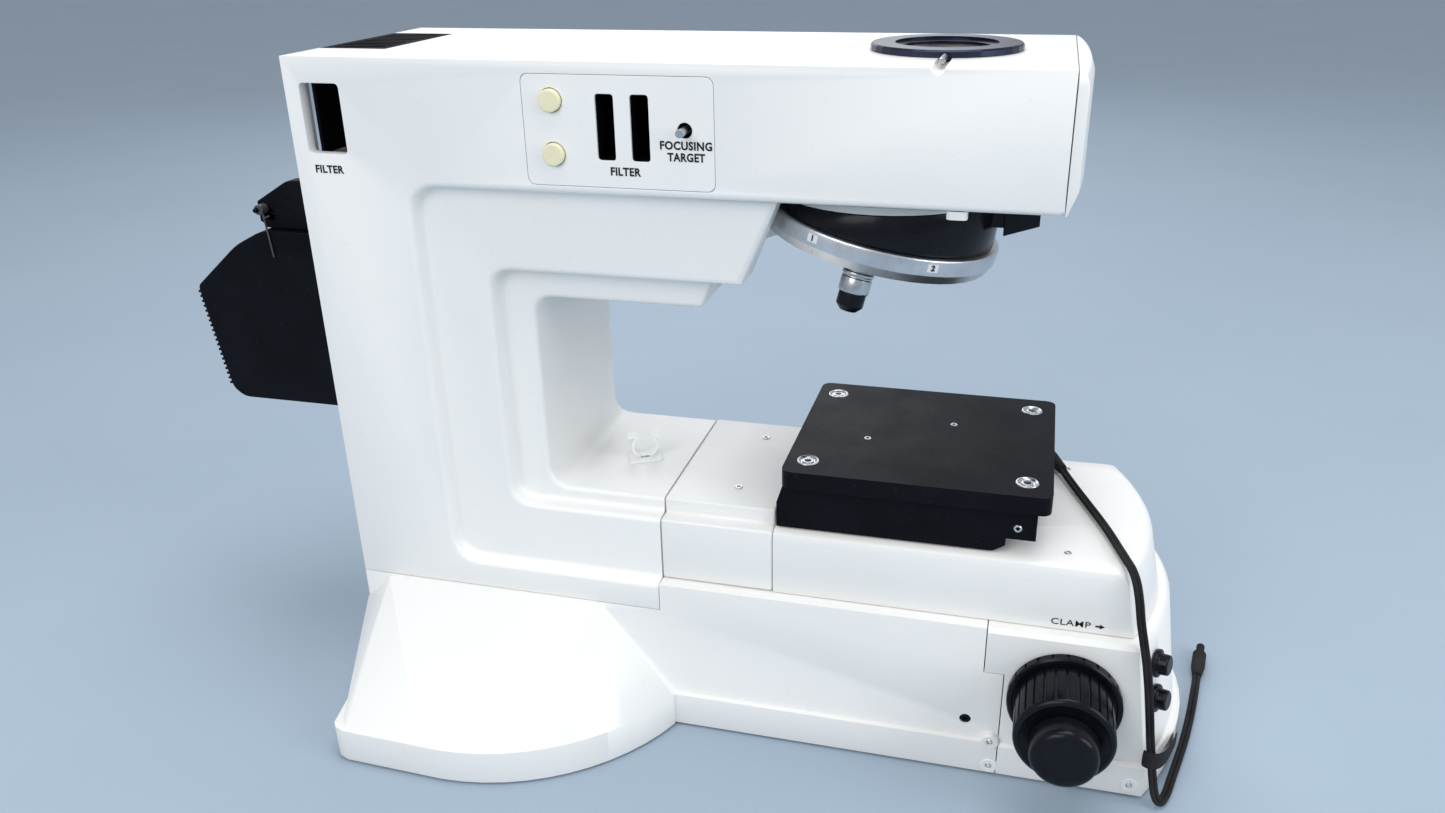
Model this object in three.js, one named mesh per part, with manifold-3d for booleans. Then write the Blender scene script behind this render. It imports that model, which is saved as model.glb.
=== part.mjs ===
// Reflected-light inspection microscope stand, built piece by piece.
// Millimetres. X = 0 is the optical axis and +X the user's side, Y = 0 the centre plane, Z = 0 the table.
import * as THREE from 'three';
import { ConvexGeometry } from 'three/addons/geometries/ConvexGeometry.js';
import { mergeVertices } from 'three/addons/utils/BufferGeometryUtils.js';
import Module from 'manifold-3d';

// ---- driving dimensions ----
const GAP = 0.3; // clearance between pieces that touch
const SEAM = 0.6; // open joint between two painted castings
const REAR_X = -367.5; // rear face of the column
const LAMP_REAR_X = -484; // rearmost point of the lamp house
const NOSE_X = 175; // foremost point of the base
const BODY_HALF = 81; // half width of column, arm and lower base
const STEP_HALF = 72.5; // half width after the first step of the throat
const THROAT_HALF = 62; // half width after the second step
const SKIRT = { half: 84.5, top: 24, bottom: 1.5 };
const ARM = { bottom: 354, top: 425.5, front: 69.7, wall: 7 };
const BASE_TOP = 86; // top of the base under the column
const COLUMN = { bottom: BASE_TOP + SEAM, front: -155.6 };
const LEDGE_Z = 105; // ledge between the lower base and the covers
const FLOOR_Z = 158; // raised floor of the throat
const COVER_TOP = 148; // flat top of the front cover
const BRIDGE = { rear: COLUMN.front + SEAM, front: -83.3 };
const CASTING_FRONT = { upper: 49.7, lower: 61.7, step: 73.2 };
const PANEL = { x: [-220.5, -111.5], z: [358.5, 419], corner: 5, thick: 2 };
const BUTTONS = { x: -203.5, z: [405, 376], radius: 6.3, proud: 3, length: 9 };
const SLOTS = { x: [[-178, -167.5], [-158.3, -147.8]], z: [373.5, 409] };
const TARGET = { x: -128, z: 391, radius: 2.2, hole: 4.2, proud: 10 };
const REAR_SLOT = { x: [-358, -332.5], z: [371, 411] };
const BEAM_Z = 391; // height of the light path along the arm
const LAMP_Z = 250; // height of the light path through the lamp house
const RING = { outer: 42, inner: 25, bottom: ARM.top + GAP, top: 429.5 };
const FLANGE = { x: -28, radius: 66, bottom: 346.6 };
const TURRET = { x: -35.7, z: 315.5, tilt: 0.22, radius: 71, band: 15, pitch: 40, places: 6,
  firstPlace: -92 };
const STAGE = { x: [-78.5, 80], half: 71.2, z: [178.5, 190], screwX: 65, screwY: 53 };
const BLOCK = { rear: -82, low: 55.7, front: 72.7, half: 66, bottom: 149.2, notch: 158.5 };
const KNOB = { x: 98, z: 62, clamp: 33.5, coarse: 28.8, fine: 19.3, shaft: 4.5, inner: 2.1 };
const PINION = { teeth: 12, module: 1, width: 14 };
const FRONT_KNOBS = { y: [-62, -66], z: [84, 62] };
const LEAD = { radius: 2.75 };

// ---- materials ----
const finish = (color, roughness, metalness) =>
  new THREE.MeshStandardMaterial({ color, roughness, metalness });
const paint = finish(0xeceae6, 0.45, 0);
const blackMetal = finish(0x17181c, 0.5, 0.3);
const blackPlastic = finish(0x1b1c22, 0.4, 0);
const aluminium = finish(0xb9bcc0, 0.35, 0.9);
const steel = finish(0xc4c6c8, 0.3, 1);
const cream = finish(0xf0ebcb, 0.5, 0);
const glass = finish(0xdfe8ea, 0.05, 0);
const rubber = finish(0x202022, 0.8, 0);

// ---- solids: three.js shapes, joined and cut by manifold ----
const wasm = await Module();
wasm.setup();

function solid(geometry) {
  const bare = geometry.clone();
  bare.deleteAttribute('normal');
  bare.deleteAttribute('uv');
  const merged = mergeVertices(bare, 1e-4);
  return new wasm.Manifold(new wasm.Mesh({
    numProp: 3,
    vertProperties: Float32Array.from(merged.attributes.position.array),
    triVerts: Uint32Array.from(merged.index.array),
  }));
}

function surface(body) {
  const mesh = body.getMesh();
  const geometry = new THREE.BufferGeometry();
  geometry.setAttribute('position', new THREE.BufferAttribute(mesh.vertProperties, 3));
  geometry.setIndex(new THREE.BufferAttribute(mesh.triVerts, 1));
  geometry.computeVertexNormals();
  return geometry;
}

const union = (first, ...others) => others.reduce((whole, other) => whole.add(other), first);
const minus = (first, ...others) => others.reduce((whole, other) => whole.subtract(other), first);
const span = ([low, high]) => [high - low, (high + low) / 2];

function box(x, y, z) {
  const [[dx, cx], [dy, cy], [dz, cz]] = [x, y, z].map(span);
  return solid(new THREE.BoxGeometry(dx, dy, dz).translate(cx, cy, cz));
}

// A geometry along +Z turned to lie along the named axis; an outline's (a, b) become the other two axes.
const AXES = {
  x: new THREE.Matrix4().makeBasis(
    new THREE.Vector3(0, 1, 0), new THREE.Vector3(0, 0, 1), new THREE.Vector3(1, 0, 0)),
  y: new THREE.Matrix4().makeBasis(
    new THREE.Vector3(-1, 0, 0), new THREE.Vector3(0, 0, 1), new THREE.Vector3(0, 1, 0)),
  z: new THREE.Matrix4(),
};

// A closed outline with rounded corners: each corner is [a, b] or [a, b, radius].
function rounded(corners) {
  const shape = new THREE.Shape();
  const count = corners.length;
  corners.forEach(([a, b, radius = 0], i) => {
    const toward = ([c, d]) => new THREE.Vector2(c - a,
      d - b).setLength(radius).add(new THREE.Vector2(a, b));
    const start = toward(corners[(i + count - 1) % count]);
    const end = toward(corners[(i + 1) % count]);
    if (i === 0) shape.moveTo(start.x, start.y);
    else shape.lineTo(start.x, start.y);
    if (radius > 0) shape.quadraticCurveTo(a, b, end.x, end.y);
  });
  return shape;
}

// An outline extruded along an axis. On y the outline is in (x, z), on x in (y, z), on z in (x, y).
function prism(axis, corners, [low, high], curveSegments = 5) {
  const outline = axis === 'y' ? corners.map(([a, ...rest]) => [-a, ...rest]) : corners;
  const geometry = new THREE.ExtrudeGeometry(rounded(outline), {
    depth: high - low, bevelEnabled: false, curveSegments,
  });
  geometry.translate(0, 0, low).applyMatrix4(AXES[axis]);
  return solid(geometry);
}

const rectangle = ([a0, a1], [b0, b1], radius = 0) =>
  [[a0, b0, radius], [a1, b0, radius], [a1, b1, radius], [a0, b1, radius]];

// A turned body along an axis: [radius, height] pairs from the low end, starting and ending on the axis.
// Its place is a point or a whole matrix.
function turned(axis, profile, place = [0, 0, 0], sides = 32) {
  const points = profile.map(([radius, height]) => new THREE.Vector2(radius, height));
  const geometry = new THREE.LatheGeometry(points, sides).rotateX(Math.PI / 2).applyMatrix4(AXES[axis]);
  return solid(Array.isArray(place) ? geometry.translate(...place) : geometry.applyMatrix4(place));
}

const disc = (axis, radius, [low, high], place = [0, 0, 0], sides = 32) =>
  turned(axis, [[0, low], [radius, low], [radius, high], [0, high]], place, sides);

// A body between level outlines with the same number of points, counter-clockwise from above.
function loft(levels) {
  const count = levels[0].points.length;
  const positions = levels.flatMap(({ z, points }) => points.flatMap(([x, y]) => [x, y, z]));
  const index = [];
  for (let level = 0; level + 1 < levels.length; level += 1) {
    for (let i = 0; i < count; i += 1) {
      const a = level * count + i;
      const b = level * count + ((i + 1) % count);
      index.push(a, b, b + count, a, b + count, a + count);
    }
  }
  const top = (levels.length - 1) * count;
  for (let i = 1; i + 1 < count; i += 1) {
    index.push(0, i + 1, i, top, top + i, top + i + 1);
  }
  const geometry = new THREE.BufferGeometry();
  geometry.setAttribute('position', new THREE.Float32BufferAttribute(positions, 3));
  geometry.setIndex(index);
  return solid(geometry);
}

// ---- the assembly ----
const stand = new THREE.Group();
stand.position.x = -(LAMP_REAR_X + NOSE_X) / 2;

function piece(name, body, material, parent = stand) {
  const mesh = new THREE.Mesh(surface(body), material);
  mesh.name = name;
  parent.add(mesh);
  return mesh;
}

// Plan outline of a body whose front bulges: square at the rear, bowed from both corners to the middle.
function bowed(rear, corner, middle, half, steps = 12) {
  const points = [[rear, half], [rear, -half]];
  for (let i = 0; i <= steps; i += 1) {
    const t = -1 + (2 * i) / steps;
    points.push([corner + (middle - corner) * (1 - t * t), half * t]);
  }
  return points;
}

// ---- column and arm ----
function makeStandFrame() {
  const outer = prism('y', [
    [REAR_X, COLUMN.bottom], [COLUMN.front, COLUMN.bottom], [COLUMN.front, LEDGE_Z],
    [-296.5, LEDGE_Z, 18], [-296.5, ARM.bottom, 18], [ARM.front, ARM.bottom],
    [ARM.front, ARM.top], [REAR_X, ARM.top],
  ], [-BODY_HALF, BODY_HALF]);
  const middle = prism('y', [
    [-300, 100], [COLUMN.front, 100], [COLUMN.front, COVER_TOP], [-255, COVER_TOP, 14],
    [-255, 304, 14], [-101, 304], [-79, ARM.bottom], [-79, 360], [-300, 360],
  ], [-STEP_HALF, STEP_HALF]);
  const inner = prism('y', [
    [-260, 140], [COLUMN.front, 140], [COLUMN.front, FLOOR_Z], [-232.5, FLOOR_Z, 14],
    [-232.5, 285.5, 12], [-127, 285.5], [-119, 304], [-119, 310], [-260, 310],
  ], [-THROAT_HALF, THROAT_HALF]);
  const turretLug = prism('z', rectangle([11, 22], [-79, -70], 3), [349.5, 356]);
  const turretRoom = disc('z', TURRET.radius + 5, [-30, 80], turretMatrix, 40)
    .intersect(box([-200, 100], [-100, 100], [250, ARM.bottom]));
  const inside = union(
    box([REAR_X + 6, -303], [-74, 74], [80, 362]),
    box([-310, -262], [-66, 66], [110, 362]),
    box([-310, -162], [-66, 66], [80, 140]),
    box([REAR_X + 6, 62], [-74, 74], [ARM.bottom + ARM.wall, ARM.top - 6]),
    box([-270, -112], [-64, 64], [312, 364]),
  );
  const rearSlot = prism('y', rectangle(REAR_SLOT.x, REAR_SLOT.z, 3), [-90, -70]);
  const rearPort = box([-372, -358], [-66, 58], [366, 414]);
  const panelSeat = prism('y', rectangle(PANEL.x, PANEL.z, PANEL.corner), [-90, -BODY_HALF + PANEL.thick]);
  const slots = SLOTS.x.map((x) => box([x[0] - 1.8, x[1] + 1.8], [-82, -70], [371.4, 411.1]));
  const buttonHoles = BUTTONS.z.map((z) => disc('y', BUTTONS.radius + 0.5, [-90, -70], [BUTTONS.x, 0, z],
    24));
  const targetHole = disc('y', TARGET.hole + 1.8, [-90, -70], [TARGET.x, 0, TARGET.z], 24);
  const lightHoles = [
    disc('z', 30, [ARM.top - 10, ARM.top + 5]),
    disc('z', 20, [345, 365]),
    disc('x', 26, [-375, -355], [0, 0, LAMP_Z], 24),
  ];
  const ventSeat = box([-364.3, -326.7], [-38, 42], [410, 430]);
  const ventRim = box([-367.5, -323.7], [-41.3, 45.3], [ARM.top - 2.8, 430]);
  const screwGroove = disc('y', 3.6, [-90, -20], [3, 0, ARM.top], 16);
  return minus(
    union(outer, middle, inner, turretLug), turretRoom, inside, rearSlot, rearPort, panelSeat,
    ...slots, ...buttonHoles, targetHole, ...lightHoles, ventSeat, ventRim, screwGroove,
  );
}

// The cap closes the arm's front end; its front is bowed and its lower edge chamfered.
function makeArmCap() {
  const rear = ARM.front + SEAM;
  const level = (z, corner, middle, half) => ({ z, points: bowed(rear, corner, middle, half) });
  return loft([
    level(ARM.bottom, 71, 73.5, BODY_HALF - 1),
    level(367, 75.6, 79.4, BODY_HALF),
    level(418, 75.6, 79.4, BODY_HALF),
    level(423.5, 73.8, 77.4, BODY_HALF - 1),
    level(ARM.top, 71, 74, BODY_HALF - 3),
  ]);
}

function makeControlPanel() {
  const { x, z, corner, thick } = PANEL;
  const plate = prism('y', rectangle([x[0] + GAP, x[1] - GAP], [z[0] + GAP, z[1] - GAP], corner),
    [-BODY_HALF, -BODY_HALF + thick - GAP]);
  return minus(
    plate,
    ...SLOTS.x.map((slot) => prism('y', rectangle(slot, SLOTS.z, 2), [-90, -70], 3)),
    ...BUTTONS.z.map((height) => disc('y', BUTTONS.radius + 0.4, [-90, -70], [BUTTONS.x, 0, height], 24)),
    disc('y', TARGET.hole, [-90, -70], [TARGET.x, 0, TARGET.z], 24),
  );
}

function makeTopVent() {
  const plate = box([-367.2, -324], [-41, 45], [ARM.top - 2.5, ARM.top]);
  const slits = Array.from({ length: 10 }, (_, i) => {
    const y = -33 + i * 7.8;
    return box([-362, -329], [y, y + 3.6], [ARM.top - 5, ARM.top + 1]);
  });
  return minus(plate, ...slits);
}

function makeTubeRing() {
  const ring = turned('z', [
    [RING.inner, RING.bottom], [RING.outer, RING.bottom], [RING.outer, RING.top - 1],
    [RING.outer - 1, RING.top], [RING.inner + 3.5, RING.top], [RING.inner + 3.5, RING.bottom + 2.2],
    [RING.inner, RING.bottom + 1.4], [RING.inner, RING.bottom],
  ], [0, 0, 0], 36);
  return minus(ring, disc('y', 2, [-50, -20], [3, 0, ARM.top + 1], 12));
}

// ---- light path inside the arm ----
function makeFilterHousing() {
  const body = box([-182, -143.8], [-69.5, 24], [370, 412.5]);
  const pockets = SLOTS.x.map((slot) => box(slot, [-80, 20], SLOTS.z));
  const noses = SLOTS.x.map((slot) => box([slot[0] - 1.4, slot[1] + 1.4], [-78.9, -69], [371.8, 410.7]));
  return minus(union(body, ...noses), ...pockets, disc('x', 13, [-190, -140], [0, 0, BEAM_Z], 24));
}

const mirrorWedge = (corners, half) => prism('y', corners, [-half, half]);

function makeBeamSplitter() {
  const cube = box([-24, 24], [-24, 24], [368, 414]);
  const frontWindow = disc('x', 14, [-30, 0], [0, 0, BEAM_Z], 24);
  const shaft = disc('z', 14, [360, 418], [0, 0, 0], 24);
  const glassSeat = prism('y', [[-20, 370], [-17, 370], [20, 409], [20, 412], [17, 412]], [-17, 17]);
  return minus(cube, frontWindow, shaft, glassSeat);
}

// ---- turret ----
const turretMatrix = new THREE.Matrix4()
  .makeTranslation(TURRET.x, 0, TURRET.z)
  .multiply(new THREE.Matrix4().makeRotationY(TURRET.tilt));

// Each nosepiece place leans outward by the turret's tilt, so that the one in use hangs plumb.
function placeMatrix(index) {
  const angle = THREE.MathUtils.degToRad(TURRET.firstPlace + (index * 360) / TURRET.places);
  const tangent = new THREE.Vector3(-Math.sin(angle), Math.cos(angle), 0);
  return new THREE.Matrix4()
    .makeTranslation(TURRET.pitch * Math.cos(angle), TURRET.pitch * Math.sin(angle), 0)
    .multiply(new THREE.Matrix4().makeRotationAxis(tangent, -TURRET.tilt));
}

function makeTurret() {
  const spin = new THREE.Group();
  spin.applyMatrix4(turretMatrix);
  stand.add(spin);
  const { radius, band, places } = TURRET;
  piece('turret_ring', turned('z', [
    [60, 1.5], [radius - 3, 0], [radius - 0.6, 5], [radius, 5.6], [radius, band - 0.8],
    [radius - 0.8, band], [60, band], [60, 1.5],
  ], [0, 0, 0], 44), aluminium, spin);
  const holes = Array.from({ length: places }, (_, i) =>
    disc('z', 10.2, [-10, 25], placeMatrix(i), 14));
  const plate = turned('z', [[0, 2], [48, 2], [59.7, 4], [59.7, 10], [13, 10], [13, 28], [0, 28]],
    [0, 0, 0], 36);
  piece('turret_plate', minus(plate, ...holes), blackMetal, spin);

  const objective = new THREE.Group();
  objective.applyMatrix4(placeMatrix(0));
  spin.add(objective);
  piece('objective_barrel', minus(
    turned('z', [
      [0, -21], [8.6, -21], [9, -20], [9, -12.4], [8.6, -12], [8.6, -11], [9.3, -10.6], [9.3, -9],
      [8.4, -8.6], [8.4, 1], [9.8, 1.2], [9.8, 7], [0, 7],
    ], [0, 0, 0], 20),
    disc('z', 5, [-30, 10], [0, 0, 0], 12),
  ), steel, objective);
  piece('objective_tip', turned('z', [
    [2.6, -32], [4.6, -32], [8, -28.5], [8, -21 - GAP], [5.6, -21 - GAP], [2.6, -29], [2.6, -32],
  ], [0, 0, 0], 20), blackPlastic, objective);
  piece('objective_lens', turned('z', [[0, -31.6], [2.3, -31.2], [2.3, -29], [0, -28.6]], [0, 0, 0], 16),
    glass, objective);
}

// The dome fills the wedge between the tilted nosepiece and the level flange.
function makeTurretDome() {
  const ringPoints = (radius, height, sides = 40) => Array.from({ length: sides }, (_, i) =>
    new THREE.Vector3(radius, 0, height).applyAxisAngle(new THREE.Vector3(0, 0, 1),
      (i * 2 * Math.PI) / sides));
  const shell = solid(new ConvexGeometry([
    ...ringPoints(67.5, TURRET.band + 0.5).map((point) => point.applyMatrix4(turretMatrix)),
    ...ringPoints(FLANGE.radius - 0.6, FLANGE.bottom - GAP).map((point) => point.setX(point.x + FLANGE.x)),
  ])).intersect(box([-200, 100], [-100, 100], [250, FLANGE.bottom - GAP]));
  const bearing = disc('z', 13.4, [5, 34], turretMatrix, 24);
  return minus(shell, bearing, disc('z', 11, [250, 400], [0, 0, 0], 24));
}

// ---- stage and focus ----
function makeStagePlate() {
  const plate = prism('z', rectangle(STAGE.x, [-STAGE.half, STAGE.half], 7), STAGE.z);
  const holes = screwPlaces.map(([x, y]) => disc('z', 7.3, [STAGE.z[1] - 3, 200], [x, y, 0], 24));
  return minus(plate, ...holes);
}

function makeStageBlock() {
  const { rear, low, front, half, bottom, notch } = BLOCK;
  const top = STAGE.z[0] - GAP;
  const body = prism('y', [
    [rear, bottom], [low - 7, bottom], [low, bottom + 4.5], [low, notch], [front, notch], [front, top],
    [rear + 4, top], [rear, 165.8],
  ], [-half, half]);
  return minus(body, box([rear + 8, low - 8], [-half + 8, half - 8], [140, bottom + 8]));
}

function makeFocusPost() {
  const post = box([20, 46], [-26, 26], [32, BLOCK.bottom + 8 - GAP]);
  const web = box([45, 84.2], [-7, 7], [32, 70]);
  return union(post, web);
}

// Gear tooth outlines keep a backlash of about 0.3 mm, so that the pair turns freely.
function toothedRack() {
  const pitch = Math.PI * PINION.module;
  const pitchX = KNOB.x - (PINION.teeth * PINION.module) / 2;
  const corners = [[84.5, 29.5], [pitchX - 1.3, 29.5]];
  for (let tooth = -10; tooth <= 3; tooth += 1) {
    const z = KNOB.z + tooth * pitch;
    corners.push([pitchX - 1.3, z - 0.95], [pitchX + 0.6, z - 0.32], [pitchX + 0.6, z + 0.32],
      [pitchX - 1.3, z + 0.95]);
  }
  corners.push([pitchX - 1.3, 73], [84.5, 73]);
  return prism('y', corners, [-6, 6]);
}

function toothedShaft() {
  const { teeth, width } = PINION;
  const corners = [];
  for (let i = 0; i < teeth; i += 1) {
    const middle = Math.PI + ((i + 0.5) * 2 * Math.PI) / teeth;
    for (const [radius, half] of [[4.8, -0.8], [6, -0.58], [6.7, -0.3], [6.7, 0.3], [6, 0.58],
      [4.8, 0.8]]) {
      const angle = middle + half / radius;
      corners.push([KNOB.x + radius * Math.cos(angle), KNOB.z + radius * Math.sin(angle)]);
    }
  }
  const pinion = prism('y', corners, [-width / 2, width / 2]);
  const shaft = disc('y', KNOB.shaft, [-112, 112], [KNOB.x, 0, KNOB.z], 24);
  return minus(union(shaft, pinion), disc('y', KNOB.inner + GAP, [-120, 120], [KNOB.x, 0, KNOB.z], 16));
}

function makeFocusGuide() {
  const body = box([6, 72], [-40, 40], [7.3, 96]);
  const pocket = box([19.7, 46.3], [-26.3, 26.3], [20, 100]);
  const webSlot = box([40, 90], [-8, 8], [25, 100]);
  const cheeks = [[-40, -28], [28, 40]].map((y) => box([70, 112], y, [44, 80]));
  return minus(union(body, ...cheeks), pocket, webSlot,
    disc('y', KNOB.shaft + GAP, [-60, 60], [KNOB.x, 0, KNOB.z], 24));
}

// A knob profile runs from its inner face outward; side is -1 for the near side and 1 for the far side.
function makeKnob(profile, side) {
  const heights = profile.map(([radius, height]) => [radius, side * height]);
  return turned('y', side > 0 ? heights : heights.reverse(), [KNOB.x, 0, KNOB.z], 32);
}

function makeCoarseKnob(inner, side) {
  const { coarse, shaft, inner: core } = KNOB;
  return makeKnob([
    [shaft + GAP, inner], [coarse - 1, inner], [coarse, inner + 1], [coarse, 119.8], [coarse - 1.4, 121],
    [core + GAP, 121], [core + GAP, 113], [shaft + GAP, 113], [shaft + GAP, inner],
  ], side);
}

const makeFineKnob = (side) => makeKnob([
  [KNOB.inner + GAP, 121.5], [KNOB.fine - 0.6, 121.5], [KNOB.fine, 122.2], [KNOB.fine, 135.5],
  [KNOB.fine - 2.4, 138], [0, 138.4], [0, 133], [KNOB.inner + GAP, 133], [KNOB.inner + GAP, 121.5],
], side);

// ---- base ----
function makeOutrigger(side) {
  const centre = [-275, -32];
  const radius = 139.5;
  const rim = [];
  for (let degrees = -100; degrees <= -23; degrees += 5.5) {
    const angle = THREE.MathUtils.degToRad(degrees);
    rim.push([centre[0] + radius * Math.cos(angle), centre[1] + radius * Math.sin(angle)]);
  }
  const hull = (points) =>
    solid(new ConvexGeometry(points.map(([x, y, z]) => new THREE.Vector3(x, -side * y, z))));
  const inner = [[-146, -70], [REAR_X, -70]];
  const slabOutline = [[-352, -156], [-350.5, -163], [-347, -167], [-340, -169.4], ...rim, ...inner,
    [REAR_X, -SKIRT.half]];
  const slab = slabOutline.flatMap(([x, y]) => [[x, y, SKIRT.bottom], [x, y, SKIRT.top]]);
  const slope = [
    ...[[-348, -150], [-346, -160], [-340, -167], ...rim, ...inner].map(([x, y]) => [x, y, SKIRT.top]),
    [REAR_X, -82.5, 66], [REAR_X, -70, 66], [-346, -86.4, BASE_TOP], [-346, -70, BASE_TOP],
    [-203, -86.4, BASE_TOP], [-196, -82, BASE_TOP], [-196, -70, BASE_TOP],
  ];
  return union(hull(slab), hull(slope));
}

function makeBaseCasting() {
  const { upper, lower, step } = CASTING_FRONT;
  const body = prism('y', [
    [REAR_X, SKIRT.bottom], [lower, SKIRT.bottom], [lower, step], [upper, step], [upper, LEDGE_Z],
    [BRIDGE.rear, LEDGE_Z], [BRIDGE.rear, BASE_TOP], [REAR_X, BASE_TOP],
  ], [-BODY_HALF, BODY_HALF]);
  const skirt = box([REAR_X, lower], [-SKIRT.half, SKIRT.half], [SKIRT.bottom, SKIRT.top]);
  const inside = union(
    box([REAR_X + 6, 70], [-74, 74], [-5, 80]),
    box([-149, 70], [-74, 74], [70, 99]),
  );
  const wiring = box([-340, -262], [-60, 60], [70, 95]);
  const postHole = box([6, 70], [-50, 50], [90, 110]);
  const inletHole = box([-372, -350], [-14, 14], [30, 50]);
  const footSeats = [-1, 1].map((side) => disc('z', 11.3, [0, 3.8], [-290, side * 140, 0], 24));
  const plugHole = disc('y', 3.6, [-90, -70], [41.2, 0, 37], 16);
  return minus(union(body, skirt, makeOutrigger(-1), makeOutrigger(1)),
    inside, wiring, postHole, inletHole, plugHole, ...footSeats);
}

function makeBridgeCover() {
  const along = [BRIDGE.rear, BRIDGE.front];
  const profile = (half, step, top, bottom, ledge) => prism('x', [
    [-half, bottom], [half, bottom], [half, ledge], [step, ledge], [step, top], [-step, top],
      [-step, ledge],
    [-half, ledge],
  ], along);
  const inside = prism('x', [
    [-67, 100], [67, 100], [67, 142.5], [56.5, 142.5], [56.5, 152.5], [-56.5, 152.5], [-56.5, 142.5],
      [-67, 142.5],
  ], [BRIDGE.rear + 5, BRIDGE.front - 5]);
  return minus(profile(STEP_HALF, THROAT_HALF, FLOOR_Z, LEDGE_Z + SEAM, COVER_TOP), inside);
}

const coverRear = BRIDGE.front + SEAM;

function makeFrontCover() {
  const level = (z, rear, corner, middle, half) => ({ z, points: bowed(rear, corner, middle, half) });
  const upper = loft([
    level(LEDGE_Z + SEAM, coverRear, 133, 151, STEP_HALF),
    level(COVER_TOP - 6, coverRear, 125.6, 143.2, STEP_HALF),
    level(COVER_TOP - 1.6, coverRear, 122.6, 140.2, STEP_HALF - 1),
    level(COVER_TOP, coverRear, 118.6, 136.2, STEP_HALF - 3.4),
  ]);
  const lower = loft([
    level(SKIRT.top - 1, 50, 148, 170.5, BODY_HALF),
    level(LEDGE_Z - 3, 50, 136, 158.5, BODY_HALF),
    level(LEDGE_Z, 50, 133.6, 156, BODY_HALF - 2.4),
  ]);
  const skirt = loft([
    level(SKIRT.bottom, 50, 148.8, NOSE_X, SKIRT.half),
    level(SKIRT.top - 2, 50, 148.8, NOSE_X, SKIRT.half),
    level(SKIRT.top, 50, 147.8, NOSE_X - 2, SKIRT.half - 1.6),
  ]);
  const neck = box([50.3, 120], [-70, 70], [95, 112]);
  const inside = union(
    loft([
      level(-1, 40, 141, 163, BODY_HALF - 6),
      level(99, 40, 129, 151, BODY_HALF - 6),
    ]),
    loft([
      level(98, BRIDGE.front + 6, 126, 144, STEP_HALF - 6),
      level(142, BRIDGE.front + 6, 117, 135, STEP_HALF - 6),
    ]),
  );
  const clearOfCasting = union(
    box([40, CASTING_FRONT.lower + SEAM], [-90, 90], [-5, CASTING_FRONT.step + SEAM]),
    box([40, CASTING_FRONT.upper + SEAM], [-90, 90], [70, LEDGE_Z + SEAM]),
  );
  const shaftHoles = disc('y', 7, [-100, 100], [KNOB.x, 0, KNOB.z], 24);
  const postOpening = box([12, 54], [-32, 32], [130, 160]);
  const knobHoles = FRONT_KNOBS.y.map((_, i) => disc('x', 3.4, [-20, 3], frontKnobMatrix(i), 16));
  return minus(union(upper, lower, skirt, neck), inside, clearOfCasting, shaftHoles, postOpening,
    ...knobHoles);
}

// A front knob stands square to the bowed, leaning front face.
function frontKnobMatrix(index) {
  const y = FRONT_KNOBS.y[index];
  const z = FRONT_KNOBS.z[index];
  const drop = (z - SKIRT.top + 1) / (LEDGE_Z - SKIRT.top - 2);
  const corner = 148 - 12 * drop;
  const x = corner + 22.5 * (1 - (y / BODY_HALF) ** 2);
  const normal = new THREE.Vector3(1, (2 * 22.5 * y) / BODY_HALF ** 2,
    12 / (LEDGE_Z - SKIRT.top - 2)).normalize();
  const turn = new THREE.Quaternion().setFromUnitVectors(new THREE.Vector3(1, 0, 0), normal);
  return new THREE.Matrix4().compose(new THREE.Vector3(x, y, z), turn, new THREE.Vector3(1, 1, 1));
}

// ---- lamp house ----
const lampOutline = [
  [-377, 192], [-465, 192, 4], [-473, 198, 4], [LAMP_REAR_X, 267, 2], [LAMP_REAR_X, 271.5, 2],
    [-449, 301, 6], [-427, 312, 6], [-377, 312],
];

function makeLampHousing() {
  const shell = prism('y', lampOutline, [-47, 47], 3);
  const inside = prism('y', [
    [-374, 195.5], [-462, 195.5], [-469.5, 200], [-479.5, 268.5], [-447, 297.5], [-426, 308.5],
      [-374, 308.5],
  ], [-43.5, 43.5]);
  const neck = disc('x', 36, [-380, REAR_X - GAP], [0, 0, LAMP_Z]);
  return minus(union(minus(shell, inside.intersect(box([-500, -380], [-50, 50], [190, 320]))), neck),
    disc('x', 30, [-390, -360], [0, 0, LAMP_Z]));
}

function makeLampBracket() {
  const profile = [
    [REAR_X - GAP, 312.6], [-423, 312.6], [-430, 317], [-430, 330], [-406, 344, 3], [REAR_X - GAP, 346],
  ];
  const body = prism('y', profile, [-42, 42]);
  const channel = box([-440, -376], [-33, 33], [320, 350]);
  const hole = disc('y', 4, [-60, 60], [-422, 0, 321.5], 16);
  const pin = disc('y', 1.5, [-51.5, -41], [-426, 0, 326], 12);
  return union(minus(body, channel, hole), pin);
}

function makeLampLever() {
  const eye = minus(disc('y', 4, [-50, -42.6], [-426, 0, 326], 16),
    disc('y', 1.8, [-60, -40], [-426, 0, 326], 12));
  const wire = prism('y', [[-430, 290], [-427.6, 290], [-425, 324], [-427.4, 324]], [-49.8, -48.2]);
  return union(eye, minus(wire, disc('y', 3, [-60, -40], [-426, 0, 326], 16)));
}

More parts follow.
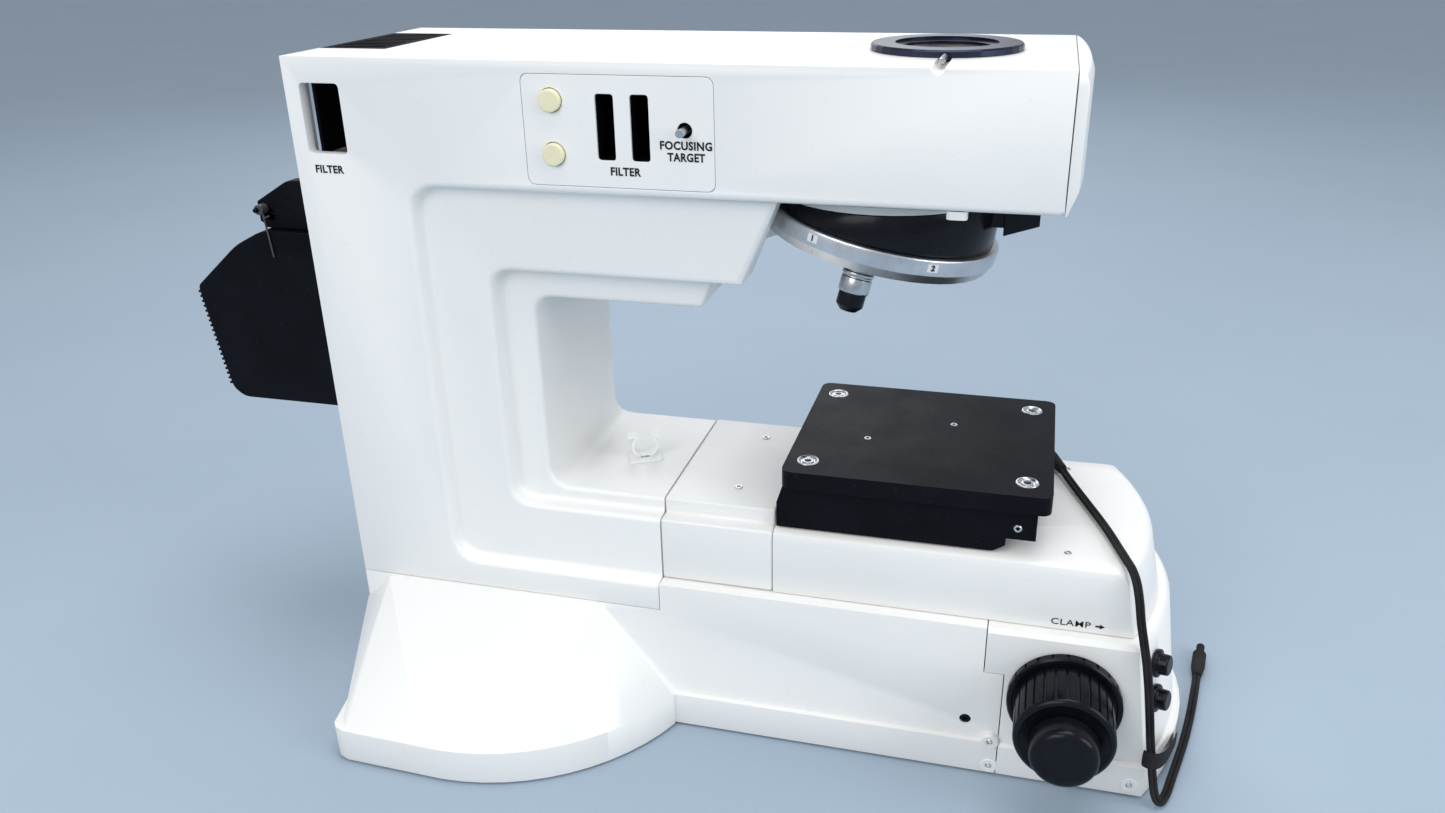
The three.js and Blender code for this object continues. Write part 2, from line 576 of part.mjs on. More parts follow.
// ---- lead ----
// The lead leaves its gland behind the stage, drops over the cover's near corner and turns on the table.
const leadRoute = [
  [88, 46, 152.4], [91.5, 36.5, 151.6], [98.4, 17.5, 151.2], [104.8, 0, 151.1], [110.8, -16.9, 151.1],
  [116, -33, 151.1], [120.6, -49, 151], [124, -61, 151], [127.2, -69.4, 149.6], [130, -75, 144.4],
  [132.6, -77.2, 134], [135, -78.4, 121], [137.6, -81.8, 110], [140.2, -85, 99], [143, -86.2, 84],
  [145.8, -86.6, 66], [148.4, -87, 48], [150.8, -88.2, 33], [153, -90, 20], [155.4, -91.4, 10],
  [159, -89.6, 4.2], [163.4, -80, 3], [168, -64, 3], [173.4, -45, 3], [179, -24, 3], [184, -2, 3],
  [187.6, 16, 3], [190.6, 32, 3.4], [192.6, 44, 4.6],
];

function makeLead() {
  const curve = new THREE.CatmullRomCurve3(leadRoute.map((point) => new THREE.Vector3(...point)));
  const section = new THREE.Shape();
  section.absarc(0, 0, LEAD.radius, 0, 2 * Math.PI);
  return solid(new THREE.ExtrudeGeometry(section, { steps: 46, curveSegments: 4, extrudePath: curve }));
}

// A round body along the line from one point toward another: [radius, distance] pairs from its start.
function turnedAlong(profile, from, toward, sides = 16) {
  const start = new THREE.Vector3(...from);
  const way = new THREE.Vector3(...toward).sub(start).normalize();
  const turn = new THREE.Quaternion().setFromUnitVectors(new THREE.Vector3(0, 0, 1), way);
  const matrix = new THREE.Matrix4().compose(start, turn, new THREE.Vector3(1, 1, 1));
  return turned('z', profile, matrix, sides);
}

function makeGland() {
  const boot = turnedAlong([[0, GAP], [3.4, GAP], [4.1, 16], [4.1, 20], [0, 20]], leadRoute[0],
    [79.4, 65.4, 153.4]);
  const foot = disc('z', 5, [COVER_TOP + GAP, 154], [80.2, 63.5, 0], 20);
  return union(boot.intersect(box([70, 100], [40, 70], [COVER_TOP + GAP, 170])), foot);
}

const makePlug = () => turnedAlong([
  [0, GAP], [3.2, GAP], [4.4, 10], [4.6, 11], [4.6, 26], [4.2, 27], [2.8, 27.4], [2.8, 37], [0, 37],
], leadRoute.at(-1), [197, 70, 4.8]);

const screwPlaces = [[-1, -1], [1, -1], [-1, 1],
  [1, 1]].map(([x, y]) => [x * STAGE.screwX, y * STAGE.screwY]);

// ---- put together ----
piece('stand_frame', makeStandFrame(), paint);
piece('arm_front_cap', makeArmCap(), paint);
piece('control_panel', makeControlPanel(), paint);
piece('top_vent', makeTopVent(), blackPlastic);
piece('rear_port_plate', box([-364.8, -362], [-59, 57.7], [366.3, 413.7]), blackMetal);
piece('tube_mount_ring', makeTubeRing(), blackMetal);
piece('tube_clamp_screw', disc('y', 1.7, [-60, -30], [3, 0, ARM.top + 1], 12), steel);

BUTTONS.z.forEach((z, i) => {
  const front = -BODY_HALF - BUTTONS.proud;
  piece(['upper_button', 'lower_button'][i], turned('y', [
    [0, front], [BUTTONS.radius - 0.6, front], [BUTTONS.radius, front + 0.6],
    [BUTTONS.radius, front + BUTTONS.length], [0, front + BUTTONS.length],
  ], [BUTTONS.x, 0, z], 24), cream);
});
piece('button_switch_block', box([-214, -193], [-72.4, -52], [365, 416]), blackPlastic);

piece('target_rod', union(
  disc('y', TARGET.radius, [-BODY_HALF - TARGET.proud, -40], [TARGET.x, 0, TARGET.z], 16),
  box([TARGET.x - 1.5, TARGET.x + 1.5], [-42, -16], [BEAM_Z - 12, BEAM_Z + 12]),
), steel);

piece('filter_housing', makeFilterHousing(), blackMetal);
piece('lower_mirror', mirrorWedge([[-333.5, 228], [-289.5, 228], [-289.5, 272]], 24), blackMetal);
piece('upper_mirror', mirrorWedge([[-330.5, 372], [-290.5, 412], [-330.5, 412]], 24), blackMetal);
piece('illuminator_tube', minus(
  disc('x', 17, [-118, -25], [0, 0, BEAM_Z]), disc('x', 14.6, [-120, -20], [0, 0, BEAM_Z]),
), blackMetal);
piece('beam_splitter', makeBeamSplitter(), blackMetal);

piece('turret_flange', minus(
  disc('z', FLANGE.radius, [FLANGE.bottom, ARM.bottom - GAP], [FLANGE.x, 0, 0], 40),
  disc('z', 14, [330, 360], [0, 0, 0], 20),
), paint);
piece('turret_dome', makeTurretDome(), blackPlastic);
piece('turret_drive', prism('y', [[39, ARM.bottom - GAP], [58.6, ARM.bottom - GAP], [58.6, 333.5],
  [39, 327]], [-22, 22]),
  blackPlastic);
makeTurret();

piece('stage_plate', makeStagePlate(), blackMetal);
piece('stage_block', makeStageBlock(), blackMetal);
screwPlaces.forEach(([x, y], i) => {
  const head = disc('z', 7, [STAGE.z[1] - 2.7, STAGE.z[1] + 0.6], [x, y, 0], 24);
  piece(`stage_screw_${i + 1}`, minus(head, disc('z', 2.6, [STAGE.z[1] - 1.6, 200], [x, y, 0], 6)), steel);
});
piece('focus_post', makeFocusPost(), aluminium);
piece('focus_rack', toothedRack(), steel);
piece('focus_guide', makeFocusGuide(), aluminium);
piece('coarse_shaft', toothedShaft(), steel);
piece('coarse_knob_near', makeCoarseKnob(88.4, -1), blackPlastic);
piece('coarse_knob_far', makeCoarseKnob(81.8, 1), blackPlastic);
piece('fine_shaft', disc('y', KNOB.inner, [-132.4, 132.4], [KNOB.x, 0, KNOB.z], 16), steel);
piece('fine_knob_near', makeFineKnob(-1), blackPlastic);
piece('fine_knob_far', makeFineKnob(1), blackPlastic);
piece('clamp_ring', makeKnob([
  [8, 81.6], [KNOB.clamp - 0.8, 81.6], [KNOB.clamp, 82.4], [KNOB.clamp, 87], [KNOB.clamp - 1.2, 88.1],
  [8, 88.1], [8, 81.6],
], -1), blackPlastic);

piece('base_casting', makeBaseCasting(), paint);
piece('bridge_cover', makeBridgeCover(), paint);
piece('front_cover', makeFrontCover(), paint);
piece('base_plate', box([REAR_X + 7, 128], [-73, 73], [4, 7]), steel);
['upper_front_knob', 'lower_front_knob'].forEach((name, i) => {
  piece(name, turned('x', [
    [0, -9], [3, -9], [3, 0.6], [8.6, 0.6], [8.6, 3], [6.4, 3.6], [6.2, 8.4], [5.4, 9], [0, 9],
  ], frontKnobMatrix(i), 18), blackPlastic);
});
piece('power_supply', box([-250, -130], [-55, 55], [7.3, 62]), steel);
piece('mains_inlet', union(
  box([-371.5, REAR_X - GAP], [-17, 17], [26, 54]), box([-370, -345], [-13.7, 13.7], [30.3, 49.7]),
), blackPlastic);
[[-290, -140], [-290, 140], [110, -50], [110, 50]].forEach(([x, y], i) => {
  piece(`foot_${i + 1}`, disc('z', 11, [0, 3.5], [x, y, 0], 24), rubber);
});

piece('lamp_housing', makeLampHousing(), blackMetal);
piece('lamp_bulb', turned('x', [
  [0, -452], [11, -452], [11, -440], [5, -440], [5.5, -436], [5.5, -420], [3, -416], [0, -415],
], [0, 0, LAMP_Z], 20), glass);
piece('collector_lens', turned('x', [[0, -397], [24, -391], [24, -388], [0, -388]], [0, 0, LAMP_Z], 32),
  glass);
piece('lamp_bracket', makeLampBracket(), blackMetal);
piece('lamp_lever', makeLampLever(), steel);

piece('lead_gland', makeGland(), rubber);
piece('lead', makeLead(), rubber);
piece('lead_plug', makePlug(), rubber);

export default stand;
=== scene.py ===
"""Reflected-light inspection microscope stand, with the looks of its paint, metals and plastics."""

import math

import bmesh
import bpy
from bpy.props import FloatProperty, FloatVectorProperty, IntProperty, PointerProperty
from mathutils import Matrix, Vector


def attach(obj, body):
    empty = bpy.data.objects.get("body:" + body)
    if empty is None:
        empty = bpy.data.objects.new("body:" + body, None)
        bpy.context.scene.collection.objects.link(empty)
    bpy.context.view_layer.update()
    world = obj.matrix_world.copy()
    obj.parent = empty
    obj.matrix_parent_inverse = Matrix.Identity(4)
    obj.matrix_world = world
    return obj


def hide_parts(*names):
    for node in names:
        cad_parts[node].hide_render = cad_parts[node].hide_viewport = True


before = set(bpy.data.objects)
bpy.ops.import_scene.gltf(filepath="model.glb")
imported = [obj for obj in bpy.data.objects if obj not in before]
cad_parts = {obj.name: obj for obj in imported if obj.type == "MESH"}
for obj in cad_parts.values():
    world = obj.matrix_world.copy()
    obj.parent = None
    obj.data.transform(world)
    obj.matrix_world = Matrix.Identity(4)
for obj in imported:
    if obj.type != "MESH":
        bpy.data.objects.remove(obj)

bl_info = {
    "name": "Inspection Microscope Stand",
    "version": (1, 0, 0),
    "blender": (4, 5, 0),
    "location": "View3D > Sidebar > Microscope",
    "description": "Builds a bench microscope stand piece by piece",
    "category": "Add Mesh",
}

# ---- places, in millimetres from the optical axis, the centre plane and the table ----
MM = 0.001
AXIS_X = 154.5
FOCUS_X, FOCUS_Z = 98, 62
TURRET_X, TURRET_Z, TURRET_TILT = -35.7, 315.5, 0.22
PANEL_Y = -81.0
BRIDGE_TOP, COVER_TOP = 158.0, 148.0
STAGE_TOP = 190.0
CORE_RADIUS, CORE_OFFSET = 1.5, 1.25
CLAMP_SIDES, CLAMP_PERIOD, CLAMP_NICK = 144, 6, 0.0009
RIB_SIDES = 4
FINS, FIN_LOW, FIN_HIGH = 20, (-473.6, 0, 201.5), (-483.6, 0, 267)
RING_RADIUS, LABEL_HEIGHT, LABEL_ANGLES = 71.0, 10.4, (-114, -57, 3, 63, 123, 183)
STAGE_SCREW_X, STAGE_SCREW_Y = 65, 53
SKIRT_SPOTS = [("upper", 57.2, 25.0, 81.0, 4.6), ("lower", 57.6, 6.6, 84.5, 0.6),
               ("front", 141.0, 8.6, 84.5, 0.6)]
PLUG_PLACE, PLUG_RADIUS, PLUG_DEPTH = (41.2, -81, 37), 3.45, 79
CLIP_X, CLIP_Y, CLIP_TURN = -186, -10, 25
WORD_WALL_Y = -72.5
LEAD_ROUTE = [
    (88, 46, 152.4), (91.5, 36.5, 151.6), (98.4, 17.5, 151.2), (104.8, 0, 151.1), (110.8, -16.9, 151.1),
    (116, -33, 151.1), (120.6, -49, 151), (124, -61, 151), (127.2, -69.4, 149.6), (130, -75, 144.4),
    (132.6, -77.2, 134), (135, -78.4, 121), (137.6, -81.8, 110), (140.2, -85, 99), (143, -86.2, 84),
    (145.8, -86.6, 66), (148.4, -87, 48), (150.8, -88.2, 33), (153, -90, 20), (155.4, -91.4, 10),
    (159, -89.6, 4.2), (163.4, -80, 3), (168, -64, 3), (173.4, -45, 3), (179, -24, 3), (184, -2, 3),
    (187.6, 16, 3), (190.6, 32, 3.4), (192.6, 44, 4.6),
]


def point(x, y, z):
    """A place in millimetres as a point in the frame."""
    return Vector(((x + AXIS_X) * MM, y * MM, z * MM))


# ---- sizes and colours a user may change ----
class StandSizes(bpy.types.PropertyGroup):
    casting_edge: FloatProperty(
        name="Casting edge", description="Radius of the castings' outer edges",
        default=0.0016, min=0.0002, max=0.004, unit="LENGTH")
    contour_edge: FloatProperty(
        name="Contour edge", description="Radius of the steps round the throat",
        default=0.0036, min=0.0005, max=0.006, unit="LENGTH")
    machined_edge: FloatProperty(
        name="Machined edge", description="Bevel on machined and moulded pieces",
        default=0.0005, min=0.0001, max=0.002, unit="LENGTH")
    rib_depth: FloatProperty(
        name="Rib depth", description="Depth of the grooves between the coarse knobs' ribs",
        default=0.0009, min=0.0001, max=0.002, unit="LENGTH")
    rib_count: IntProperty(
        name="Rib count", description="Ribs round each coarse knob", default=28, min=12, max=90)
    letter_height: FloatProperty(
        name="Letter height", description="Height of the capitals on the castings",
        default=0.0044, min=0.001, max=0.01, unit="LENGTH")


class StandColours(bpy.types.PropertyGroup):
    paint: FloatVectorProperty(
        name="Paint", description="Warm white enamel on the castings",
        subtype="COLOR", size=3, min=0, max=1, default=(0.86, 0.85, 0.82))
    crinkle: FloatVectorProperty(
        name="Black finish", description="Black paint on the stage and the lamp house",
        subtype="COLOR", size=3, min=0, max=1, default=(0.0045, 0.005, 0.007))
    plastic: FloatVectorProperty(
        name="Black plastic", description="Moulded black plastic of the knobs",
        subtype="COLOR", size=3, min=0, max=1, default=(0.0035, 0.004, 0.006))
    cream: FloatVectorProperty(
        name="Cream plastic", description="Push buttons",
        subtype="COLOR", size=3, min=0, max=1, default=(0.84, 0.78, 0.52))
    # Printed words, and also the painted shade in the screws' recesses.
    ink_and_painted_shade: FloatVectorProperty(
        name="Ink", description="Printed words and numerals",
        subtype="COLOR", size=3, min=0, max=1, default=(0.02, 0.02, 0.024))


def sizes():
    return bpy.context.scene.stand_sizes


def colours():
    return bpy.context.scene.stand_colours


# ---- shader node groups shared by the materials ----
def new_group(name, inputs, outputs):
    group = bpy.data.node_groups.new(name, "ShaderNodeTree")
    for label, kind, value in inputs:
        socket = group.interface.new_socket(name=label, in_out="INPUT", socket_type=kind)
        if value is not None:
            socket.default_value = value
    for label, kind in outputs:
        group.interface.new_socket(name=label, in_out="OUTPUT", socket_type=kind)
    return group, group.nodes.new("NodeGroupInput"), group.nodes.new("NodeGroupOutput")


def node(tree, kind, **values):
    """A shader node with its settings and the named inputs given."""
    made = tree.nodes.new(kind)
    for key, value in values.items():
        if key in made.inputs:
            made.inputs[key].default_value = value
        else:
            setattr(made, key, value)
    return made


def noise(tree, vector, scale, detail=3.0, roughness=0.55):
    made = node(tree, "ShaderNodeTexNoise", Scale=scale, Detail=detail, Roughness=roughness)
    tree.links.new(vector, made.inputs["Vector"])
    return made.outputs["Fac"]


def ramp(tree, value, low, high):
    """The value stretched so that low becomes 0 and high becomes 1, and held there."""
    made = node(tree, "ShaderNodeMapRange")
    made.inputs["From Min"].default_value = low
    made.inputs["From Max"].default_value = high
    tree.links.new(value, made.inputs["Value"])
    return made.outputs["Result"]


def maths(tree, operation, first, second):
    made = node(tree, "ShaderNodeMath", operation=operation)
    for socket, value in zip(made.inputs, (first, second)):
        if isinstance(value, (int, float)):
            socket.default_value = value
        else:
            tree.links.new(value, socket)
    return made.outputs[0]


def blend_colour(tree, factor, first, second, mode="MIX"):
    made = node(tree, "ShaderNodeMix", data_type="RGBA", blend_type=mode)
    for socket, value in ((made.inputs[0], factor), (made.inputs[6], first), (made.inputs[7], second)):
        if isinstance(value, (int, float)):
            socket.default_value = value
        elif isinstance(value, tuple):
            socket.default_value = (*value, 1.0)
        else:
            tree.links.new(value, socket)
    return made.outputs[2]


def wear_group():
    """Patches of handling, small flecks and a fine grain, all from the piece's own coordinates."""
    tree, source, result = new_group(
        "Surface life",
        [("Vector", "NodeSocketVector", None), ("Patch scale", "NodeSocketFloat", 14.0),
         ("Fleck scale", "NodeSocketFloat", 260.0), ("Grain scale", "NodeSocketFloat", 1500.0)],
        [("Patches", "NodeSocketFloat"), ("Flecks", "NodeSocketFloat"), ("Grain", "NodeSocketFloat")])
    links = tree.links
    vector = source.outputs["Vector"]
    for label, scale, detail, low, high in (
            ("Patches", "Patch scale", 4.0, 0.35, 0.7), ("Flecks", "Fleck scale", 2.0, 0.66, 0.74),
            ("Grain", "Grain scale", 2.0, 0.2, 0.8)):
        made = node(tree, "ShaderNodeTexNoise", Detail=detail, Roughness=0.6)
        links.new(vector, made.inputs["Vector"])
        links.new(source.outputs[scale], made.inputs["Scale"])
        links.new(ramp(tree, made.outputs["Fac"], low, high), result.inputs[label])
    return tree


def turned_group():
    """Fine tool lines round a turned or brushed piece: noise that changes only along one axis."""
    tree, source, result = new_group(
        "Tool lines",
        [("Vector", "NodeSocketVector", None), ("Across", "NodeSocketFloat", 40.0),
         ("Along", "NodeSocketFloat", 5200.0)],
        [("Lines", "NodeSocketFloat")])
    spread = node(tree, "ShaderNodeCombineXYZ")
    tree.links.new(source.outputs["Across"], spread.inputs["X"])
    tree.links.new(source.outputs["Across"], spread.inputs["Y"])
    tree.links.new(source.outputs["Along"], spread.inputs["Z"])
    scaled = node(tree, "ShaderNodeVectorMath", operation="MULTIPLY")
    tree.links.new(source.outputs["Vector"], scaled.inputs[0])
    tree.links.new(spread.outputs[0], scaled.inputs[1])
    tree.links.new(noise(tree, scaled.outputs[0], 1.0, 4.0), result.inputs["Lines"])
    return tree


def placed_coordinates(tree, place=(0, 0, 0), turn=(0, 0, 0)):
    """The piece's coordinates seen from a place, turned so that the pattern follows its axis."""
    coordinates = node(tree, "ShaderNodeTexCoord")
    mapping = node(tree, "ShaderNodeMapping", vector_type="TEXTURE")
    mapping.inputs["Location"].default_value = place
    mapping.inputs["Rotation"].default_value = turn
    tree.links.new(coordinates.outputs["Object"], mapping.inputs["Vector"])
    return mapping.outputs["Vector"]


def new_material(name, **plain):
    material = bpy.data.materials.new(name)
    material.use_nodes = True
    tree = material.node_tree
    shader = tree.nodes["Principled BSDF"]
    for key, value in plain.items():
        shader.inputs[key.replace("_", " ")].default_value = value
    return material, tree, shader


def life(tree, vector, patch, fleck, grain):
    made = node(tree, "ShaderNodeGroup", node_tree=bpy.data.node_groups["Surface life"])
    made.inputs["Patch scale"].default_value = patch
    made.inputs["Fleck scale"].default_value = fleck
    made.inputs["Grain scale"].default_value = grain
    tree.links.new(vector, made.inputs["Vector"])
    return made.outputs


def set_bump(tree, shader, height, strength, distance=0.0002):
    bump = node(tree, "ShaderNodeBump", Strength=strength, Distance=distance)
    tree.links.new(height, bump.inputs["Height"])
    tree.links.new(bump.outputs["Normal"], shader.inputs["Normal"])


def set_roughness(tree, shader, value, low, high):
    made = node(tree, "ShaderNodeMapRange")
    made.inputs["To Min"].default_value = low
    made.inputs["To Max"].default_value = high
    tree.links.new(value, made.inputs["Value"])
    tree.links.new(made.outputs["Result"], shader.inputs["Roughness"])


def shade(colour, share):
    return tuple(c * share for c in colour)


def coated_finish(name, colour, roughness, worn, fleck_amount, bump, coat=0.0, scales=(14, 260, 1500)):
    """Paint or moulded plastic: patches of handling, sparse flecks and a fine grain."""
    material, tree, shader = new_material(name, Coat_Roughness=0.2)
    vector = placed_coordinates(tree)
    out = life(tree, vector, *scales)
    body = blend_colour(tree, out["Patches"], tuple(colour), tuple(worn))
    flecks = maths(tree, "MULTIPLY", out["Flecks"], fleck_amount)
    dark = shade(colour, 0.45) if sum(colour) > 1 else tuple(c * 4 + 0.02 for c in colour)
    tree.links.new(blend_colour(tree, flecks, body, dark), shader.inputs["Base Color"])
    set_roughness(tree, shader, out["Patches"], *roughness)
    set_bump(tree, shader, out["Grain"], bump)
    shader.inputs["Coat Weight"].default_value = coat
    if sum(colour) < 0.1:
        shader.inputs["Specular IOR Level"].default_value = 0.05
    return material


def metal_finish(name, colour, roughness, place=(0, 0, 0), turn=(0, 0, 0), across=40.0, along=5200.0):
    """Turned or brushed metal with tool lines and a little tarnish."""
    material, tree, shader = new_material(name, Metallic=1.0)
    vector = placed_coordinates(tree, place, turn)
    lines = node(tree, "ShaderNodeGroup", node_tree=bpy.data.node_groups["Tool lines"])
    lines.inputs["Across"].default_value = across
    lines.inputs["Along"].default_value = along
    tree.links.new(vector, lines.inputs["Vector"])
    out = life(tree, vector, 30, 420, 900)
    dull = shade(colour, 0.72)
    body = blend_colour(tree, out["Patches"], tuple(colour), dull)
    flecks = maths(tree, "MULTIPLY", out["Flecks"], 0.5)
    tarnish = blend_colour(tree, flecks, body, shade(colour, 0.4))
    tree.links.new(tarnish, shader.inputs["Base Color"])
    set_roughness(tree, shader, lines.outputs["Lines"], *roughness)
    set_bump(tree, shader, lines.outputs["Lines"], 0.25, 0.00008)
    return material


def clear_finish(name, colour):
    material, tree, shader = new_material(name, Roughness=0.04, IOR=1.5, Transmission_Weight=1.0)
    vector = placed_coordinates(tree)
    out = life(tree, vector, 40, 600, 1500)
    tree.links.new(blend_colour(tree, out["Patches"], tuple(colour), shade(colour, 0.93)),
                   shader.inputs["Base Color"])
    return material


MATERIALS = {}


class STAND_OT_finishes(bpy.types.Operator):
    """Make the paints, plastics and metals"""
    bl_idname = "stand.finishes"
    bl_label = "Finishes"

    def execute(self, context):
        wear_group()
        turned_group()
        own = colours()
        paint, black, plastic, cream = own.paint, own.crinkle, own.plastic, own.cream
        axis = point(0, 0, 0)
        focus = point(FOCUS_X, 0, FOCUS_Z)
        turret = point(TURRET_X, 0, TURRET_Z)
        quarter = math.pi / 2
        MATERIALS.update({
            "paint": coated_finish(
                "Warm white enamel", paint, (0.34, 0.46), shade(paint, 0.965), 0.05, 0.16, 0.15,
                (7, 150, 1300)),
            "panel": coated_finish(
                "Panel white", paint, (0.4, 0.5), shade(paint, 0.97), 0.04, 0.05, 0.1,
                (12, 200, 1900)),
            "flange": coated_finish(
                "Grey enamel", (0.62, 0.62, 0.61), (0.35, 0.5), (0.55, 0.55, 0.54), 0.1, 0.1, 0.1),
            "crinkle": coated_finish(
                "Black crinkle paint", black, (0.3, 0.48), shade(black, 1.7), 0.25, 0.5, 0.0,
                (18, 320, 800)),
            "plastic": coated_finish(
                "Black moulded plastic", plastic, (0.16, 0.3), shade(plastic, 1.8), 0.2, 0.12, 0.25,
                (26, 420, 1500)),
            "ring_black": metal_finish("Black anodised ring", (0.035, 0.042, 0.07), (0.22, 0.4), axis),
            "cream": coated_finish(
                "Cream plastic", cream, (0.38, 0.5), shade(cream, 0.93), 0.04, 0.06, 0.1,
                (60, 500, 2000)),
            "clip": coated_finish(
                "White nylon", (0.9, 0.9, 0.88), (0.4, 0.55), (0.84, 0.84, 0.82), 0.03, 0.05),
            # The printed-ink colour also stands for the painted shade in the screws' recesses.
            "ink_and_painted_shade": coated_finish("Printed ink", own.ink_and_painted_shade, (0.5, 0.65), shade(own.ink_and_painted_shade, 1.4), 0.0, 0.02),
            "vent": coated_finish(
                "Vent paint", (0.002, 0.002, 0.003), (0.6, 0.8), (0.003, 0.003, 0.004), 0.0, 0.01),
            "iron": coated_finish(
                "Blackened wire", (0.05, 0.05, 0.055), (0.3, 0.45), (0.09, 0.085, 0.08), 0.2, 0.05),
            "label": coated_finish(
                "White label", (0.8, 0.8, 0.78), (0.4, 0.5), (0.74, 0.74, 0.72), 0.05, 0.02),
            "rubber": coated_finish(
                "Black rubber", (0.016, 0.016, 0.017), (0.55, 0.75), (0.03, 0.03, 0.031), 0.2, 0.15,
                0.0, (30, 300, 900)),
            "turned": metal_finish(
                "Turned aluminium", (0.74, 0.75, 0.77), (0.24, 0.4), turret, (0, TURRET_TILT, 0)),
            "steel": metal_finish("Bright steel", (0.66, 0.67, 0.69), (0.16, 0.34), axis),
            "shaft": metal_finish(
                "Ground shaft", (0.62, 0.63, 0.65), (0.2, 0.36), focus, (quarter, 0, 0)),
            "milled": metal_finish(
                "Milled aluminium", (0.68, 0.69, 0.71), (0.3, 0.48), axis, (0, quarter, 0)),
            "zinc": metal_finish(
                "Zinc-plated sheet", (0.5, 0.51, 0.52), (0.34, 0.52), axis, (quarter, 0, 0), 60.0,
                900.0),
            "glass": clear_finish("Coated glass", (0.86, 0.93, 0.95)),
        })
        return {"FINISHED"}


# ---- modelling by hand, one tool at a time ----
def only(obj):
    """Only this object is selected and active."""
    bpy.ops.object.select_all(action="DESELECT")
    obj.select_set(True)
    bpy.context.view_layer.objects.active = obj


def edit(obj, kind="FACE"):
    only(obj)
    bpy.ops.object.mode_set(mode="EDIT")
    bpy.ops.mesh.select_mode(type=kind)
    bpy.ops.mesh.select_all(action="DESELECT")
    return bmesh.from_edit_mesh(obj.data)


def done(obj):
    bpy.ops.object.mode_set(mode="OBJECT")
    return obj


def pick(obj, elements, test):
    """Selects the faces or edges of the mesh being edited that pass the test, and says how many."""
    count = 0
    for element in elements:
        if test(element):
            element.select_set(True)
            count += 1
    bmesh.update_edit_mesh(obj.data)
    return count


def turn_out(rings, sides, place=None):
    """A turned piece: a disc at the first ring, drawn out and scaled ring by ring along its own Z."""
    bpy.ops.object.select_all(action="DESELECT")
    radius, height = rings[0]
    bpy.ops.mesh.primitive_circle_add(
        vertices=sides, radius=radius * MM, fill_type="NGON", location=(0, 0, height * MM))
    obj = bpy.context.object
    bpy.ops.object.transform_apply()
    bpy.ops.object.mode_set(mode="EDIT")
    bpy.ops.mesh.select_mode(type="FACE")
    bpy.ops.mesh.select_all(action="SELECT")
    for next_radius, next_height in rings[1:]:
        bpy.ops.mesh.extrude_region_move(
            TRANSFORM_OT_translate={"value": (0, 0, (next_height - height) * MM)})
        scale = next_radius / radius
        bpy.ops.transform.resize(value=(scale, scale, 1), center_override=(0, 0, next_height * MM))
        radius, height = next_radius, next_height
    bpy.ops.mesh.select_all(action="SELECT")
    bpy.ops.mesh.normals_make_consistent(inside=False)
    done(obj)
    if place is not None:
        put(obj, place)
    return obj


def put(obj, place):
    obj.matrix_world = place
    only(obj)
    bpy.ops.object.transform_apply()


def block(low, high, place=None):
    """A cuboid between two corners, in millimetres of the stand or of its own place."""
    bpy.ops.object.select_all(action="DESELECT")
    bpy.ops.mesh.primitive_cube_add(size=1)
    obj = bpy.context.object
    corner = [point(*c) if place is None else Vector(c) * MM for c in (low, high)]
    obj.location = (corner[0] + corner[1]) / 2
    obj.scale = corner[1] - corner[0]
    bpy.ops.object.transform_apply()
    if place is not None:
        put(obj, place)
    return obj


def apply_modifier(obj, kind, **settings):
    only(obj)
    made = obj.modifiers.new(kind.title(), kind)
    for key, value in settings.items():
        setattr(made, key, value)
    bpy.ops.object.modifier_apply(modifier=made.name)


def round_edges(obj, width, segments=2, angle=32):
    apply_modifier(obj, "BEVEL", width=width, segments=segments, limit_method="ANGLE",
                   angle_limit=math.radians(angle), use_clamp_overlap=True)
    return obj


def join(first, *others):
    only(first)
    for other in others:
        other.select_set(True)
    bpy.ops.object.join()
    return first


def finish_piece(obj, name, body, material, replaces=(), smooth=32):
    obj.name = obj.data.name = name
    only(obj)
    bpy.ops.object.shade_smooth_by_angle(angle=math.radians(smooth))
    if material:
        obj.data.materials.clear()
        obj.data.materials.append(MATERIALS[material])
    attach(obj, body)
    if replaces:
        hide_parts(*replaces)
    return obj


def copy_node(name):
    """A merged copy of a CAD node, its flat faces whole again."""
    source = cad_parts[name]
    obj = bpy.data.objects.new(name + "_shape", source.data.copy())
    bpy.context.collection.objects.link(obj)
    edit(obj)
    bpy.ops.mesh.select_all(action="SELECT")
    bpy.ops.mesh.remove_doubles(threshold=0.00002)
    bpy.ops.mesh.dissolve_limited(angle_limit=math.radians(0.6))
    return done(obj)


def bevel_edges(obj, test, offset, segments):
    mesh = edit(obj, "EDGE")
    if pick(obj, mesh.edges, test):
        bpy.ops.mesh.bevel(offset=offset, segments=segments, affect="EDGES", clamp_overlap=True)
    return done(obj)


def sharp(edge, least=30):
    return len(edge.link_faces) == 2 and edge.calc_face_angle(0) > math.radians(least)


def along_y(edge, value, slack=0.00006):
    return all(abs(abs(v.co.y) - value * MM) < slack for v in edge.verts)


def milli(vert):
    """A corner's place in millimetres from the optical axis."""
    return Vector((vert.co.x / MM - AXIS_X, vert.co.y / MM, vert.co.z / MM))


def centre_of(element):
    total = sum((milli(v) for v in element.verts), Vector())
    return total / len(element.verts)


# ---- the lead ----
def smooth_route(steps=6):
    """The route's points joined by one smooth curve."""
    route = [point(*p) for p in LEAD_ROUTE]
    route = [route[0] * 2 - route[1], *route, route[-1] * 2 - route[-2]]
    line = []
    for a, b, c, d in zip(route, route[1:], route[2:], route[3:]):
        for i in range(steps):
            t = i / steps
            line.append(0.5 * (2 * b + (c - a) * t + (2 * a - 5 * b + 4 * c - d) * t ** 2
                               + (3 * b - a - 3 * c + d) * t ** 3))
    return [*line, route[-2]]


